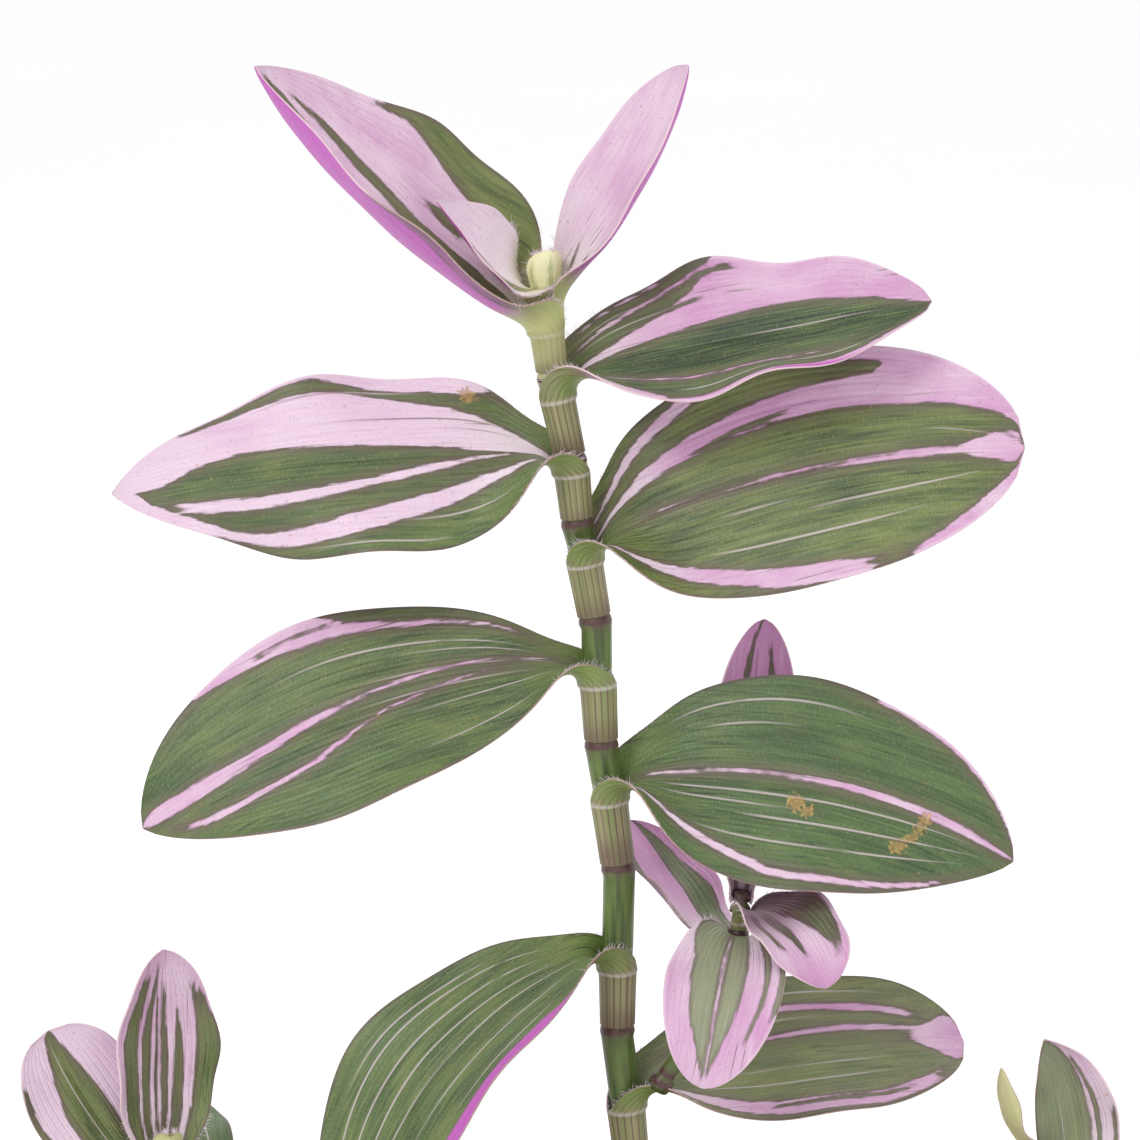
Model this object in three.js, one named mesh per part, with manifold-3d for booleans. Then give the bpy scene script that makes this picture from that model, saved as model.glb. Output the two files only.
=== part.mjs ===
// A striped tradescantia in a plain clay pot, in millimetres, with Z up.
// The origin is the centre of the pot's flat foot. The plant faces -Y, and its leaves leave the stems
// by turns to the right (+X) and to the left (-X).
import * as THREE from "three";
import { mergeVertices } from "three/addons/utils/BufferGeometryUtils.js";
import Module from "manifold-3d";

const wasm = await Module();
wasm.setup();

// Pot and soil
const POT_HEIGHT = 106;
const FOOT_RADIUS = 43;
const RIM_RADIUS = 64;
const RIM_HEIGHT = 25;
const RIM_STEP = 3.5;
const POT_WALL = 5;
const POT_FLOOR = 7;
const DRAIN_RADIUS = 5;
const DRAIN_RING_RADIUS = 22;
const DRAIN_COUNT = 4;
const ROUND_SIDES = 40;
const SOIL_LEVEL = 93;
const SOIL_DOME = 2.5;

// Clearance between pieces that touch
const GAP = 0.3;

// Stems and leaves
const PLANTED_DEPTH = 24;
const STEM_SIDES = 10;
const NODE_SWELL = 0.35;
const CORE_INSET = 0.25;
const SHEATH_CLEARANCE = 0.55;
const SHEATH_FOOT = 0.8;
const SHEATH_WRAP = 345;
const LEAF_THICKNESS = 0.7;
const LEAF_COLUMNS = 8;
const LEAF_TIP_WIDTH = 1;
const ROW_SPACING = 0.45;
const NECK_STATIONS = [0.25, 0.6, 1.3];
const BLADE_STATIONS = [0.17, 0.35, 0.55, 0.75, 0.9, 1];
const ARC_STEPS = 6;
const FOLD_SPREAD = 3;
const MIDRIB_STEPS = 80;
const UP = 90;

const radians = THREE.MathUtils.degToRad;

const clay = new THREE.MeshStandardMaterial({ color: 0xb5694a, roughness: 0.85, metalness: 0 });
const soil = new THREE.MeshStandardMaterial({ color: 0x35261c, roughness: 0.95, metalness: 0 });
const stemGreen = new THREE.MeshStandardMaterial({ color: 0x5d7a33, roughness: 0.4, metalness: 0 });
const leafGreen = new THREE.MeshStandardMaterial({ color: 0x6b8253, roughness: 0.5, metalness: 0 });
const leafPink = new THREE.MeshStandardMaterial({ color: 0xd9a3d0, roughness: 0.5, metalness: 0 });

// Each joint of a shoot, from its start: a leaf sheath from a node to where the blade leaves, then a bare
// stretch to the next node. lean is the joint's angle from upright, and toward the way it leans in plan.
// A blade leaves in the direction turn in plan, at the angle rise from the stem's own level, and bends by
// bend towards its tip. roll turns its face about the midrib, cup and fold raise its two halves, and ripple
// waves its margins. base and tip say how quickly it widens and narrows, and wrap how far round the stem
// its sheath goes.
const MAIN_SHOOT = {
  name: "main",
  foot: [5.2, 0],
  radius: 2.75,
  topRadius: 2,
  joints: [
    { sheath: 9.5, bare: 12, lean: 6, toward: 180,
      leaf: { turn: -48, rise: 22, bend: -40, roll: 6, length: 62, width: 33, cup: 30 } },
    { sheath: 9.8, bare: 13, lean: 4, toward: 180,
      leaf: { turn: 156, rise: 14, bend: -46, roll: 10, length: 68, width: 35, cup: 24 } },
    { sheath: 10.6, bare: 14, lean: 6, toward: 180,
      leaf: { turn: 15, rise: 3.5, bend: -18, roll: 40,
        length: 59, width: 27, cup: 24, base: 0.6, tip: 0.5 } },
    { sheath: 10.2, bare: 17.7, lean: 0, toward: 180,
      leaf: { turn: 208, rise: -14, bend: -78, roll: -14,
        length: 70, width: 31, cup: 50, base: 0.8 } },
    { sheath: 11.2, bare: 9.8, lean: 7.5, toward: 180,
      leaf: { turn: -6, rise: -4, bend: -34, roll: 54, length: 67, width: 36, cup: 22, tip: 0.75 } },
    { sheath: 9.9, bare: 10.8, lean: 3, toward: 180,
      leaf: { turn: 186, rise: -2, bend: -35, roll: -50,
        length: 78, width: 34, cup: 20, base: 0.9, tip: 0.75 } },
    { sheath: 9.4, bare: 6.8, lean: 10, toward: 180,
      leaf: { turn: -4, rise: 15, bend: -27, roll: 66,
        length: 72, width: 38, cup: 20, base: 0.5, tip: 0.5 } },
    { sheath: 8, bare: 2.3, lean: 6, toward: 180,
      leaf: { turn: 186, rise: 7, bend: -12, roll: -54,
        length: 72, width: 32, cup: -30, ripple: 2.4, tip: 0.8 } },
    { sheath: 9.9, bare: 3.9, lean: 12, toward: 180,
      leaf: { turn: -4, rise: 2, bend: -4, roll: 38,
        length: 60, width: 27, fold: 10, ripple: 1.8, base: 0.45 } },
    { sheath: 6.8, bare: 1.6, lean: 7, toward: 180, crown: true,
      leaf: { turn: 190, rise: 40, bend: 26, roll: -30,
        length: 61, width: 38, cup: 46, fold: 26, base: 0.45, tip: 0.75, neck: 1.9 } },
    { sheath: 1.4, bare: 1.2, lean: 7, toward: 180, crown: true,
      leaf: { turn: -4, rise: 45, bend: 20, roll: 34,
        length: 44, width: 19, cup: 46, fold: 20, ripple: 0.3, base: 0.6, wrap: 140 } },
    { sheath: 1.2, bare: 0.8, lean: 7, toward: 180, crown: true,
      leaf: { turn: 220, rise: 50, bend: -4, roll: -52,
        length: 25, width: 17, cup: 56, ripple: 0.3, base: 0.5, tip: 1, wrap: 120, neck: 1.8 } },
    { sheath: 1, bare: 0.8, lean: 0, toward: 0, crown: true,
      leaf: { turn: -50, rise: 84, bend: 0, roll: 0,
        length: 6, width: 9, cup: 170, ripple: 0, wrap: 180 } },
  ],
};

const SIDE_SHOOT = {
  name: "side",
  axil: { joint: 2, turn: -28, out: 7.4, up: 6 },
  radius: 1.7,
  topRadius: 1.4,
  joints: [
    { sheath: 8, bare: 7.5, lean: 30, toward: -8 },
    { sheath: 5, bare: 3.8, lean: 24, toward: -8,
      leaf: { turn: 132, rise: 8, bend: 10, roll: 0, length: 34, width: 18, cup: 60, base: 0.8 } },
    { sheath: 3, bare: 2, lean: 10, toward: -15, crown: true,
      leaf: { turn: 262, rise: -8, bend: -72, roll: 0,
        length: 34, width: 19, cup: 40, wrap: 180 } },
    { sheath: 2, bare: 2, lean: 4, toward: 0, crown: true,
      leaf: { turn: -46, rise: 0, bend: -60, roll: 20,
        length: 23, width: 16, cup: 60, wrap: 180 } },
    { sheath: 2, bare: 1, lean: 4, toward: 0, crown: true,
      leaf: { turn: 86, rise: 60, bend: 0, roll: 0, length: 46, width: 15, cup: 70, wrap: 180 } },
  ],
};

const LEFT_SHOOT = {
  name: "left",
  foot: [-40, -4],
  radius: 2.3,
  topRadius: 1.7,
  joints: [
    { sheath: 7, bare: 11, lean: 44, toward: 180 },
    { sheath: 8, bare: 9.5, lean: 58, toward: 182,
      leaf: { turn: 268, rise: 32, bend: -36, roll: -46, length: 50, width: 27 } },
    { sheath: 8, bare: 5, lean: 32, toward: 184,
      leaf: { turn: 92, rise: 30, bend: -40, roll: 26, length: 46, width: 25, cup: 30 } },
    { sheath: 7, bare: 2.4, lean: 10, toward: 184, crown: true,
      leaf: { turn: 172, rise: 62, bend: 14, roll: -56,
        length: 34, width: 20, cup: 40, tip: 0.4 } },
    { sheath: 2.4, bare: 1.5, lean: 4, toward: 0, crown: true,
      leaf: { turn: 112, rise: 80, bend: 6, roll: 16, length: 37, width: 20, cup: 50, wrap: 180 } },
    { sheath: 1.6, bare: 1.5, lean: 4, toward: 0, crown: true,
      leaf: { turn: 290, rise: 74, bend: 0, roll: 0,
        length: 5, width: 6, cup: 120, ripple: 0, wrap: 180 } },
  ],
};

const RIGHT_SHOOT = {
  name: "right",
  foot: [45, -6],
  radius: 2.3,
  topRadius: 1.7,
  joints: [
    { sheath: 7, bare: 12, lean: 36, toward: 0 },
    { sheath: 8, bare: 7, lean: 56, toward: -4,
      leaf: { turn: -86, rise: 34, bend: -36, roll: 44, length: 46, width: 25 } },
    { sheath: 7, bare: 3.6, lean: 34, toward: -4,
      leaf: { turn: 36, rise: 34, bend: -42, roll: -14, length: 44, width: 24, cup: 30 } },
    { sheath: 6, bare: 5, lean: 8, toward: 180, crown: true,
      leaf: { turn: 46, rise: 74, bend: 54, roll: 44,
        length: 33, width: 14, cup: 50, tip: 0.8, neck: 2.4 } },
    { sheath: 2.2, bare: 1.5, lean: 8, toward: 180, crown: true,
      leaf: { turn: 218, rise: 30, bend: 74, roll: -24,
        length: 26, width: 10, cup: 60, wrap: 140 } },
  ],
};

const SHOOTS = [MAIN_SHOOT, SIDE_SHOOT, LEFT_SHOOT, RIGHT_SHOOT];

// Turns a closed geometry into a manifold-3d solid.
function toSolid(geometry) {
  const bare = geometry.index ? geometry.toNonIndexed() : geometry.clone();
  bare.deleteAttribute("normal");
  bare.deleteAttribute("uv");
  const merged = mergeVertices(bare, 1e-3);
  return new wasm.Manifold(
    new wasm.Mesh({
      numProp: 3,
      vertProperties: new Float32Array(merged.attributes.position.array),
      triVerts: new Uint32Array(merged.index.array),
    }),
  );
}

function toGeometry(solid) {
  const made = solid.getMesh();
  const geometry = new THREE.BufferGeometry();
  geometry.setAttribute("position", new THREE.BufferAttribute(new Float32Array(made.vertProperties), 3));
  geometry.setIndex(new THREE.BufferAttribute(new Uint32Array(made.triVerts), 1));
  geometry.computeVertexNormals();
  return geometry;
}

// A turned shape about Z from a profile of [radius, height] points.
function turned(profile) {
  const points = profile.map(([r, z]) => new THREE.Vector2(r, z));
  return new THREE.LatheGeometry(points, ROUND_SIDES).rotateX(Math.PI / 2);
}

function uprightCylinder(radius, from, to, sides, x, y) {
  const cylinder = new THREE.CylinderGeometry(radius, radius, to - from, sides);
  return cylinder.rotateX(Math.PI / 2).translate(x, y, (from + to) / 2);
}

// A closed body from points and faces, each face three indices.
function meshFrom(points, faces) {
  const geometry = new THREE.BufferGeometry();
  geometry.setAttribute("position", new THREE.Float32BufferAttribute(points.flatMap((p) => p.toArray()), 3));
  geometry.setIndex(faces.flat());
  geometry.computeVertexNormals();
  return geometry;
}

// Radius of the pot's inner wall at a height.
function innerRadius(z) {
  const slope = (RIM_RADIUS - RIM_STEP - FOOT_RADIUS) / (POT_HEIGHT - RIM_HEIGHT);
  return FOOT_RADIUS + slope * Math.min(z, POT_HEIGHT - RIM_HEIGHT) - POT_WALL;
}

function potGeometry() {
  const bandFoot = POT_HEIGHT - RIM_HEIGHT;
  const neck = RIM_RADIUS - RIM_STEP;
  const profile = [
    [0, 0],
    [FOOT_RADIUS - 2, 0],
    [FOOT_RADIUS, 2],
    [neck - 1, bandFoot - 1],
    [RIM_RADIUS - 2, bandFoot],
    [RIM_RADIUS - 1, bandFoot + 2],
    [RIM_RADIUS, POT_HEIGHT - 2],
    [RIM_RADIUS - 2, POT_HEIGHT],
    [RIM_RADIUS - POT_WALL, POT_HEIGHT],
    [RIM_RADIUS - POT_WALL - 1.5, POT_HEIGHT - 1.5],
    [innerRadius(POT_HEIGHT), bandFoot],
    [innerRadius(POT_FLOOR + 6), POT_FLOOR + 6],
    [innerRadius(POT_FLOOR) - 5, POT_FLOOR],
    [0, POT_FLOOR],
  ];
  let pot = toSolid(turned(profile));
  for (let i = 0; i < DRAIN_COUNT; i++) {
    const angle = ((i + 0.5) / DRAIN_COUNT) * 2 * Math.PI;
    const x = DRAIN_RING_RADIUS * Math.cos(angle);
    const y = DRAIN_RING_RADIUS * Math.sin(angle);
    pot = pot.subtract(toSolid(uprightCylinder(DRAIN_RADIUS, -1, POT_FLOOR + 1, 12, x, y)));
  }
  return toGeometry(pot);
}

function soilGeometry() {
  const bandFoot = POT_HEIGHT - RIM_HEIGHT;
  const wallGap = GAP + 0.1;
  const profile = [
    [0, POT_FLOOR + GAP],
    [innerRadius(POT_FLOOR) - 5 - wallGap, POT_FLOOR + GAP],
    [innerRadius(POT_FLOOR + 6) - wallGap, POT_FLOOR + 6 + GAP],
    [innerRadius(bandFoot) - wallGap, bandFoot],
    [innerRadius(bandFoot) - wallGap, SOIL_LEVEL - SOIL_DOME],
    [innerRadius(bandFoot) * 0.6, SOIL_LEVEL - SOIL_DOME * 0.3],
    [0, SOIL_LEVEL],
  ];
  let bed = toSolid(turned(profile));
  for (const shoot of SHOOTS.filter((s) => s.foot)) {
    const radius = (shoot.radius + GAP) / Math.cos(Math.PI / STEM_SIDES);
    const from = SOIL_LEVEL - PLANTED_DEPTH - GAP;
    const [x, y] = shoot.foot;
    bed = bed.subtract(toSolid(uprightCylinder(radius, from, SOIL_LEVEL + 5, STEM_SIDES, x, y)));
  }
  return toGeometry(bed);
}

function leanDirection(lean, toward) {
  const out = Math.sin(radians(lean));
  return new THREE.Vector3(
    out * Math.cos(radians(toward)),
    out * Math.sin(radians(toward)),
    Math.cos(radians(lean)),
  );
}

// Walks up a shoot from its start. Each joint gets its node, the point where its blade leaves, and its axis.
function walkShoot(shoot, start) {
  const count = shoot.joints.length;
  let at = start.clone();
  return shoot.joints.map((joint, i) => {
    const axis = leanDirection(joint.lean, joint.toward);
    const node = at.clone();
    const collar = node.clone().addScaledVector(axis, joint.sheath);
    at = collar.clone().addScaledVector(axis, joint.bare);
    const radius = THREE.MathUtils.lerp(shoot.radius, shoot.topRadius, i / Math.max(1, count - 1));
    return { ...joint, node, collar, end: at.clone(), axis, radius };
  });
}

// A tapering round bar through rings of { at, axis, radius }, closed at both ends.
function barGeometry(rings) {
  const points = [];
  const faces = [];
  rings.forEach(({ at, axis, radius }) => {
    const side = new THREE.Vector3(1, 0, 0).projectOnPlane(axis).normalize();
    const other = new THREE.Vector3().crossVectors(axis, side);
    for (let k = 0; k < STEM_SIDES; k++) {
      const angle = ((k + 0.5) / STEM_SIDES) * 2 * Math.PI;
      points.push(
        at.clone()
          .addScaledVector(side, radius * Math.cos(angle))
          .addScaledVector(other, radius * Math.sin(angle)),
      );
    }
  });
  for (let row = 0; row + 1 < rings.length; row++) {
    for (let k = 0; k < STEM_SIDES; k++) {
      const a = row * STEM_SIDES + k;
      const b = row * STEM_SIDES + ((k + 1) % STEM_SIDES);
      faces.push([a, b, b + STEM_SIDES], [a, b + STEM_SIDES, a + STEM_SIDES]);
    }
  }
  const last = (rings.length - 1) * STEM_SIDES;
  for (let k = 1; k + 1 < STEM_SIDES; k++) {
    faces.push([0, k + 1, k], [last, last + k, last + k + 1]);
  }
  return meshFrom(points, faces);
}

// The stem swells at each node, and is a little slimmer inside each sheath.
function stemGeometry(shoot, joints, rootDepth) {
  const first = joints[0];
  const rings = [];
  if (rootDepth > 0) {
    const under = first.node.clone().setZ(first.node.z - rootDepth);
    rings.push({ at: under, axis: new THREE.Vector3(0, 0, 1), radius: shoot.radius });
  }
  for (const joint of joints) {
    const along = (from, distance) => from.clone().addScaledVector(joint.axis, distance);
    const { axis, radius } = joint;
    rings.push({ at: along(joint.node, -0.4), axis, radius: radius + NODE_SWELL });
    rings.push({ at: along(joint.node, 0.4), axis, radius: radius - CORE_INSET });
    rings.push({ at: along(joint.collar, 0.6), axis, radius: radius - CORE_INSET });
    if (joint.bare > 5) {
      rings.push({ at: along(joint.collar, 4), axis, radius });
    }
  }
  const top = joints[joints.length - 1];
  rings.push({ at: top.end, axis: top.axis, radius: top.radius * 0.5 });
  return barGeometry(rings);
}

const LEAF_DEFAULTS = {
  neck: 3.2, cup: 24, fold: 0, ripple: 0.8, waves: 2.5, base: 0.6, tip: 0.6, wrap: SHEATH_WRAP,
};

// The midrib's point and frame at a distance from the collar, in the leaf's own frame: +Z up the stem,
// +X the way the blade leaves. A negative distance is down the sheath.
function midribAt(leaf, sheathRadius, distance) {
  const riseAt = (s) => {
    const settled = Math.exp(-Math.pow(s / leaf.neck, 1.5));
    return radians(leaf.rise + (UP - leaf.rise) * settled + leaf.bend * Math.pow(s / leaf.length, 1.4));
  };
  const reach = Math.max(distance, 0);
  const step = reach / MIDRIB_STEPS;
  const at = new THREE.Vector3(sheathRadius, 0, Math.min(distance, 0));
  for (let i = 0; i < MIDRIB_STEPS; i++) {
    const rise = riseAt((i + 0.5) * step);
    at.add(new THREE.Vector3(Math.cos(rise) * step, 0, Math.sin(rise) * step));
  }
  const rise = riseAt(reach);
  const turned = 1 - Math.exp(-Math.pow(reach / (2.5 * leaf.neck), 2));
  const roll = radians(leaf.roll * turned);
  const side = new THREE.Vector3(0, 1, 0);
  const face = new THREE.Vector3(-Math.sin(rise), 0, Math.cos(rise));
  return {
    at,
    side: side.clone().multiplyScalar(Math.cos(roll)).addScaledVector(face, Math.sin(roll)),
    face: face.clone().multiplyScalar(Math.cos(roll)).addScaledVector(side, -Math.sin(roll)),
  };
}

// The sheath's width around the stem gives way to the blade's, which is widest where base and tip balance.
function leafWidth(leaf, sheathRadius, distance) {
  const around = radians(leaf.wrap) * sheathRadius;
  if (distance <= 0) return around;
  const outline = (part) => Math.pow(part, leaf.base) * Math.pow(1 - part, leaf.tip);
  const widest = leaf.base / (leaf.base + leaf.tip);
  const blade = (leaf.width * outline(Math.min(distance / leaf.length, 1))) / outline(widest);
  const left = Math.exp(-distance / leaf.neck);
  return Math.max(LEAF_TIP_WIDTH, blade * (1 - left) + around * left);
}

// One row of points across the leaf at a distance along it, from one margin to the other.
function leafRow(leaf, sheathRadius, distance) {
  const { at, side, face } = midribAt(leaf, sheathRadius, distance);
  const width = leafWidth(leaf, sheathRadius, distance);
  const reach = Math.max(distance, 0);
  const part = Math.min(reach / leaf.length, 1);
  const open = 1 - Math.exp(-reach / leaf.neck);
  const turn = radians(leaf.wrap + (leaf.cup - leaf.wrap) * open);
  const steps = (LEAF_COLUMNS / 2) * ARC_STEPS;
  const half = (sign) => {
    const points = [];
    let across = 0;
    let lift = 0;
    for (let k = 1; k <= steps; k++) {
      const middle = (k - 0.5) / steps;
      const folded = radians(leaf.fold) * open * Math.tanh((middle * width) / FOLD_SPREAD);
      const angle = (turn / 2) * middle + folded;
      across += (Math.cos(angle) * width) / 2 / steps;
      lift += (Math.sin(angle) * width) / 2 / steps;
      if (k % ARC_STEPS === 0) {
        const wave = Math.sin(2 * Math.PI * leaf.waves * part + sign) * Math.sin(Math.PI * part);
        const height = lift + leaf.ripple * open * Math.pow(k / steps, 2.5) * wave;
        points.push(at.clone().addScaledVector(side, sign * across).addScaledVector(face, height));
      }
    }
    return points;
  };
  return [...half(-1).reverse(), at, ...half(1)];
}

// A sheet of even thickness below a grid of points.
function sheetGeometry(rows) {
  const columns = rows[0].length;
  const clamp = THREE.MathUtils.clamp;
  const pick = (r, c) => rows[clamp(r, 0, rows.length - 1)][clamp(c, 0, columns - 1)];
  const top = [];
  const under = [];
  rows.forEach((row, r) =>
    row.forEach((point, c) => {
      const along = pick(r + 1, c).clone().sub(pick(r - 1, c));
      const across = pick(r, c + 1).clone().sub(pick(r, c - 1));
      const normal = new THREE.Vector3().crossVectors(along, across).normalize();
      top.push(point.clone());
      under.push(point.clone().addScaledVector(normal, -LEAF_THICKNESS));
    }),
  );
  const points = [...top, ...under];
  const below = top.length;
  const faces = [];
  const quad = (a, b, c, d) => faces.push([a, b, c], [a, c, d]);
  for (let r = 0; r + 1 < rows.length; r++) {
    for (let c = 0; c + 1 < columns; c++) {
      const a = r * columns + c;
      quad(a, a + columns, a + columns + 1, a + 1);
      quad(below + a, below + a + 1, below + a + columns + 1, below + a + columns);
    }
  }
  const rim = [];
  for (let c = 0; c < columns; c++) rim.push(c);
  for (let r = 1; r < rows.length; r++) rim.push(r * columns + columns - 1);
  for (let c = columns - 2; c >= 0; c--) rim.push((rows.length - 1) * columns + c);
  for (let r = rows.length - 2; r > 0; r--) rim.push(r * columns);
  rim.forEach((a, i) => {
    const b = rim[(i + 1) % rim.length];
    quad(a, b, below + b, below + a);
  });
  return meshFrom(points, faces);
}

function leafGeometry(leaf, stemRadius, sheathLength) {
  const sheathRadius = stemRadius - CORE_INSET + SHEATH_CLEARANCE;
  const blade = BLADE_STATIONS.map((part) => part * leaf.length);
  const neck = NECK_STATIONS.map((part) => part * leaf.neck);
  const clear = (s) => blade.every((b) => Math.abs(b - s) > ROW_SPACING) && s < leaf.length;
  const opened = [...neck.filter(clear), ...blade].sort((a, b) => a - b);
  const stations = [SHEATH_FOOT - sheathLength, 0, ...opened];
  return sheetGeometry(stations.map((s) => leafRow(leaf, sheathRadius, s)));
}

// A shoot's stem and leaves. Each leaf's own frame sits on the stem's axis at its collar.
function buildShoot(shoot, start, rootDepth) {
  const group = new THREE.Group();
  const joints = walkShoot(shoot, start);
  const stem = new THREE.Mesh(stemGeometry(shoot, joints, rootDepth), stemGreen);
  stem.name = shoot.name + "_stem";
  group.add(stem);
  const numbers = { leaf: 0, crown_leaf: 0 };
  joints.forEach((joint) => {
    if (!joint.leaf) return;
    const leaf = { ...LEAF_DEFAULTS, ...joint.leaf };
    const kind = joint.crown ? "crown_leaf" : "leaf";
    const mesh = new THREE.Mesh(
      leafGeometry(leaf, joint.radius, joint.sheath),
      joint.crown ? leafPink : leafGreen,
    );
    numbers[kind] += 1;
    mesh.name = [shoot.name, kind, numbers[kind]].join("_");
    const way = new THREE.Vector3(Math.cos(radians(leaf.turn)), Math.sin(radians(leaf.turn)), 0);
    const out = way.projectOnPlane(joint.axis).normalize();
    const side = new THREE.Vector3().crossVectors(joint.axis, out);
    mesh.position.copy(joint.collar);
    mesh.setRotationFromMatrix(new THREE.Matrix4().makeBasis(out, side, joint.axis));
    group.add(mesh);
  });
  return group;
}

const plant = new THREE.Group();

const pot = new THREE.Mesh(potGeometry(), clay);
pot.name = "pot";
plant.add(pot);

const bed = new THREE.Mesh(soilGeometry(), soil);
bed.name = "potting_soil";
plant.add(bed);

// A shoot starts in the soil, or in the axil of one of the main shoot's leaves.
const mainStart = new THREE.Vector3(MAIN_SHOOT.foot[0], MAIN_SHOOT.foot[1], SOIL_LEVEL + 1);
const mainJoints = walkShoot(MAIN_SHOOT, mainStart);

function startOf(shoot) {
  if (shoot.foot) return new THREE.Vector3(shoot.foot[0], shoot.foot[1], SOIL_LEVEL + 1);
  const { joint, turn, out, up } = shoot.axil;
  const way = new THREE.Vector3(Math.cos(radians(turn)), Math.sin(radians(turn)), 0);
  const { collar, axis } = mainJoints[joint];
  return collar.clone().addScaledVector(way, out).addScaledVector(axis, up);
}

for (const shoot of SHOOTS) {
  plant.add(buildShoot(shoot, startOf(shoot), shoot.foot ? PLANTED_DEPTH : 0));
}

export default plant;
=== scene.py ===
"""A striped tradescantia in a round clay pot: leaves, stems, hairs, soil and pot, with light and camera."""
import math
import random

import bpy
import numpy as np
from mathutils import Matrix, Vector


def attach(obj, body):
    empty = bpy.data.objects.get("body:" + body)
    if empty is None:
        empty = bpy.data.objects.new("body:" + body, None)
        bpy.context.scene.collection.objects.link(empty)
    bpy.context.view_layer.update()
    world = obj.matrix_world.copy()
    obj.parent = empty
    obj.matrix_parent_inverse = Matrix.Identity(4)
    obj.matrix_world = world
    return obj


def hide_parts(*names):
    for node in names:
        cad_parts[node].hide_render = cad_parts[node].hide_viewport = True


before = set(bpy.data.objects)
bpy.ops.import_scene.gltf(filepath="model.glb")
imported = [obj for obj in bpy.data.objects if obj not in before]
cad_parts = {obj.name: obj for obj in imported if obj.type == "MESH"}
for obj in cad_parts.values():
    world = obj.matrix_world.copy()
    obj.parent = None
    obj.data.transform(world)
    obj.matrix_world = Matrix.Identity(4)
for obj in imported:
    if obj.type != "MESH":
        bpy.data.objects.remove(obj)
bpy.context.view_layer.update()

MM = 0.001

# Pot and soil, in millimetres
POT_HEIGHT = 106
FOOT_RADIUS = 43
RIM_RADIUS = 64
RIM_HEIGHT = 25
RIM_STEP = 3.5
POT_WALL = 5
POT_FLOOR = 7
DRAIN_RADIUS = 5
DRAIN_RING_RADIUS = 22
DRAIN_COUNT = 4
POT_CHAMFER = 2
LIP_CHAMFER = 1.5
FLOOR_CORNER = 5
FLOOR_CORNER_RISE = 6
SOIL_LEVEL = 93
SOIL_DOME = 2.5
SOIL_GAP = 0.4
SOIL_LIFT = 0.3
SOIL_GRAIN = 0.45
STEM_CLEARANCE = 5.5
WALL_CLEARANCE = 3

# Stems and leaves, in millimetres and degrees
PLANTED_DEPTH = 24
NODE_SWELL = 0.35
CORE_INSET = 0.25
NODE_RINGS = [(-1.6, 0.3), (-0.5, 1), (0.3, 0.6)]  # distance from the node, share of the swelling
CORE_START = 0.9
COLLAR_RINGS = [(0.6, 1), (2.6, 0.3), (4, 0)]  # distance from the collar, share of the inset
LONG_BARE = 5
SHEATH_CLEARANCE = 0.55
SHEATH_FOOT = 0.8
SHEATH_SNUG = 0.3
LEAF_THICKNESS = 0.7
FOLD_SPREAD = 3
GROOVE_WIDTH = 0.9
GROOVE_DEPTH = 0.3
SWELL_HEIGHT = 0.16
HAIR_ZONE = (-1.5, 9)
HAIRS_AT_ROW = 3
HAIR_LENGTH = (0.5, 1.5)
HAIR_WIDTH = 0.035
UP = 90

# neck is how soon the blade leaves the stem, cup and fold its curl across and its crease along the midrib,
# ripple and waves its wavy margins, base and tip its outline, and wrap how far round the stem the sheath goes
LEAF_DEFAULTS = {
    "neck": 3.2, "cup": 24, "fold": 0, "ripple": 0.8, "waves": 2.5, "base": 0.6, "tip": 0.6, "wrap": 345,
}


def leaf(turn, rise, bend, roll, length, width, **shape):
    """A leaf: its turn in plan, its rise and bend, the roll of its face, and its size and outline."""
    return {**LEAF_DEFAULTS, "turn": turn, "rise": rise, "bend": bend, "roll": roll,
            "length": length, "width": width, **shape}


def joint(sheath, bare, lean, toward, blade=None, crown=False):
    """One joint of a shoot: a sheath from its node to where the blade leaves, then a bare stretch."""
    return {"sheath": sheath, "bare": bare, "lean": lean, "toward": toward, "leaf": blade, "crown": crown}


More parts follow.
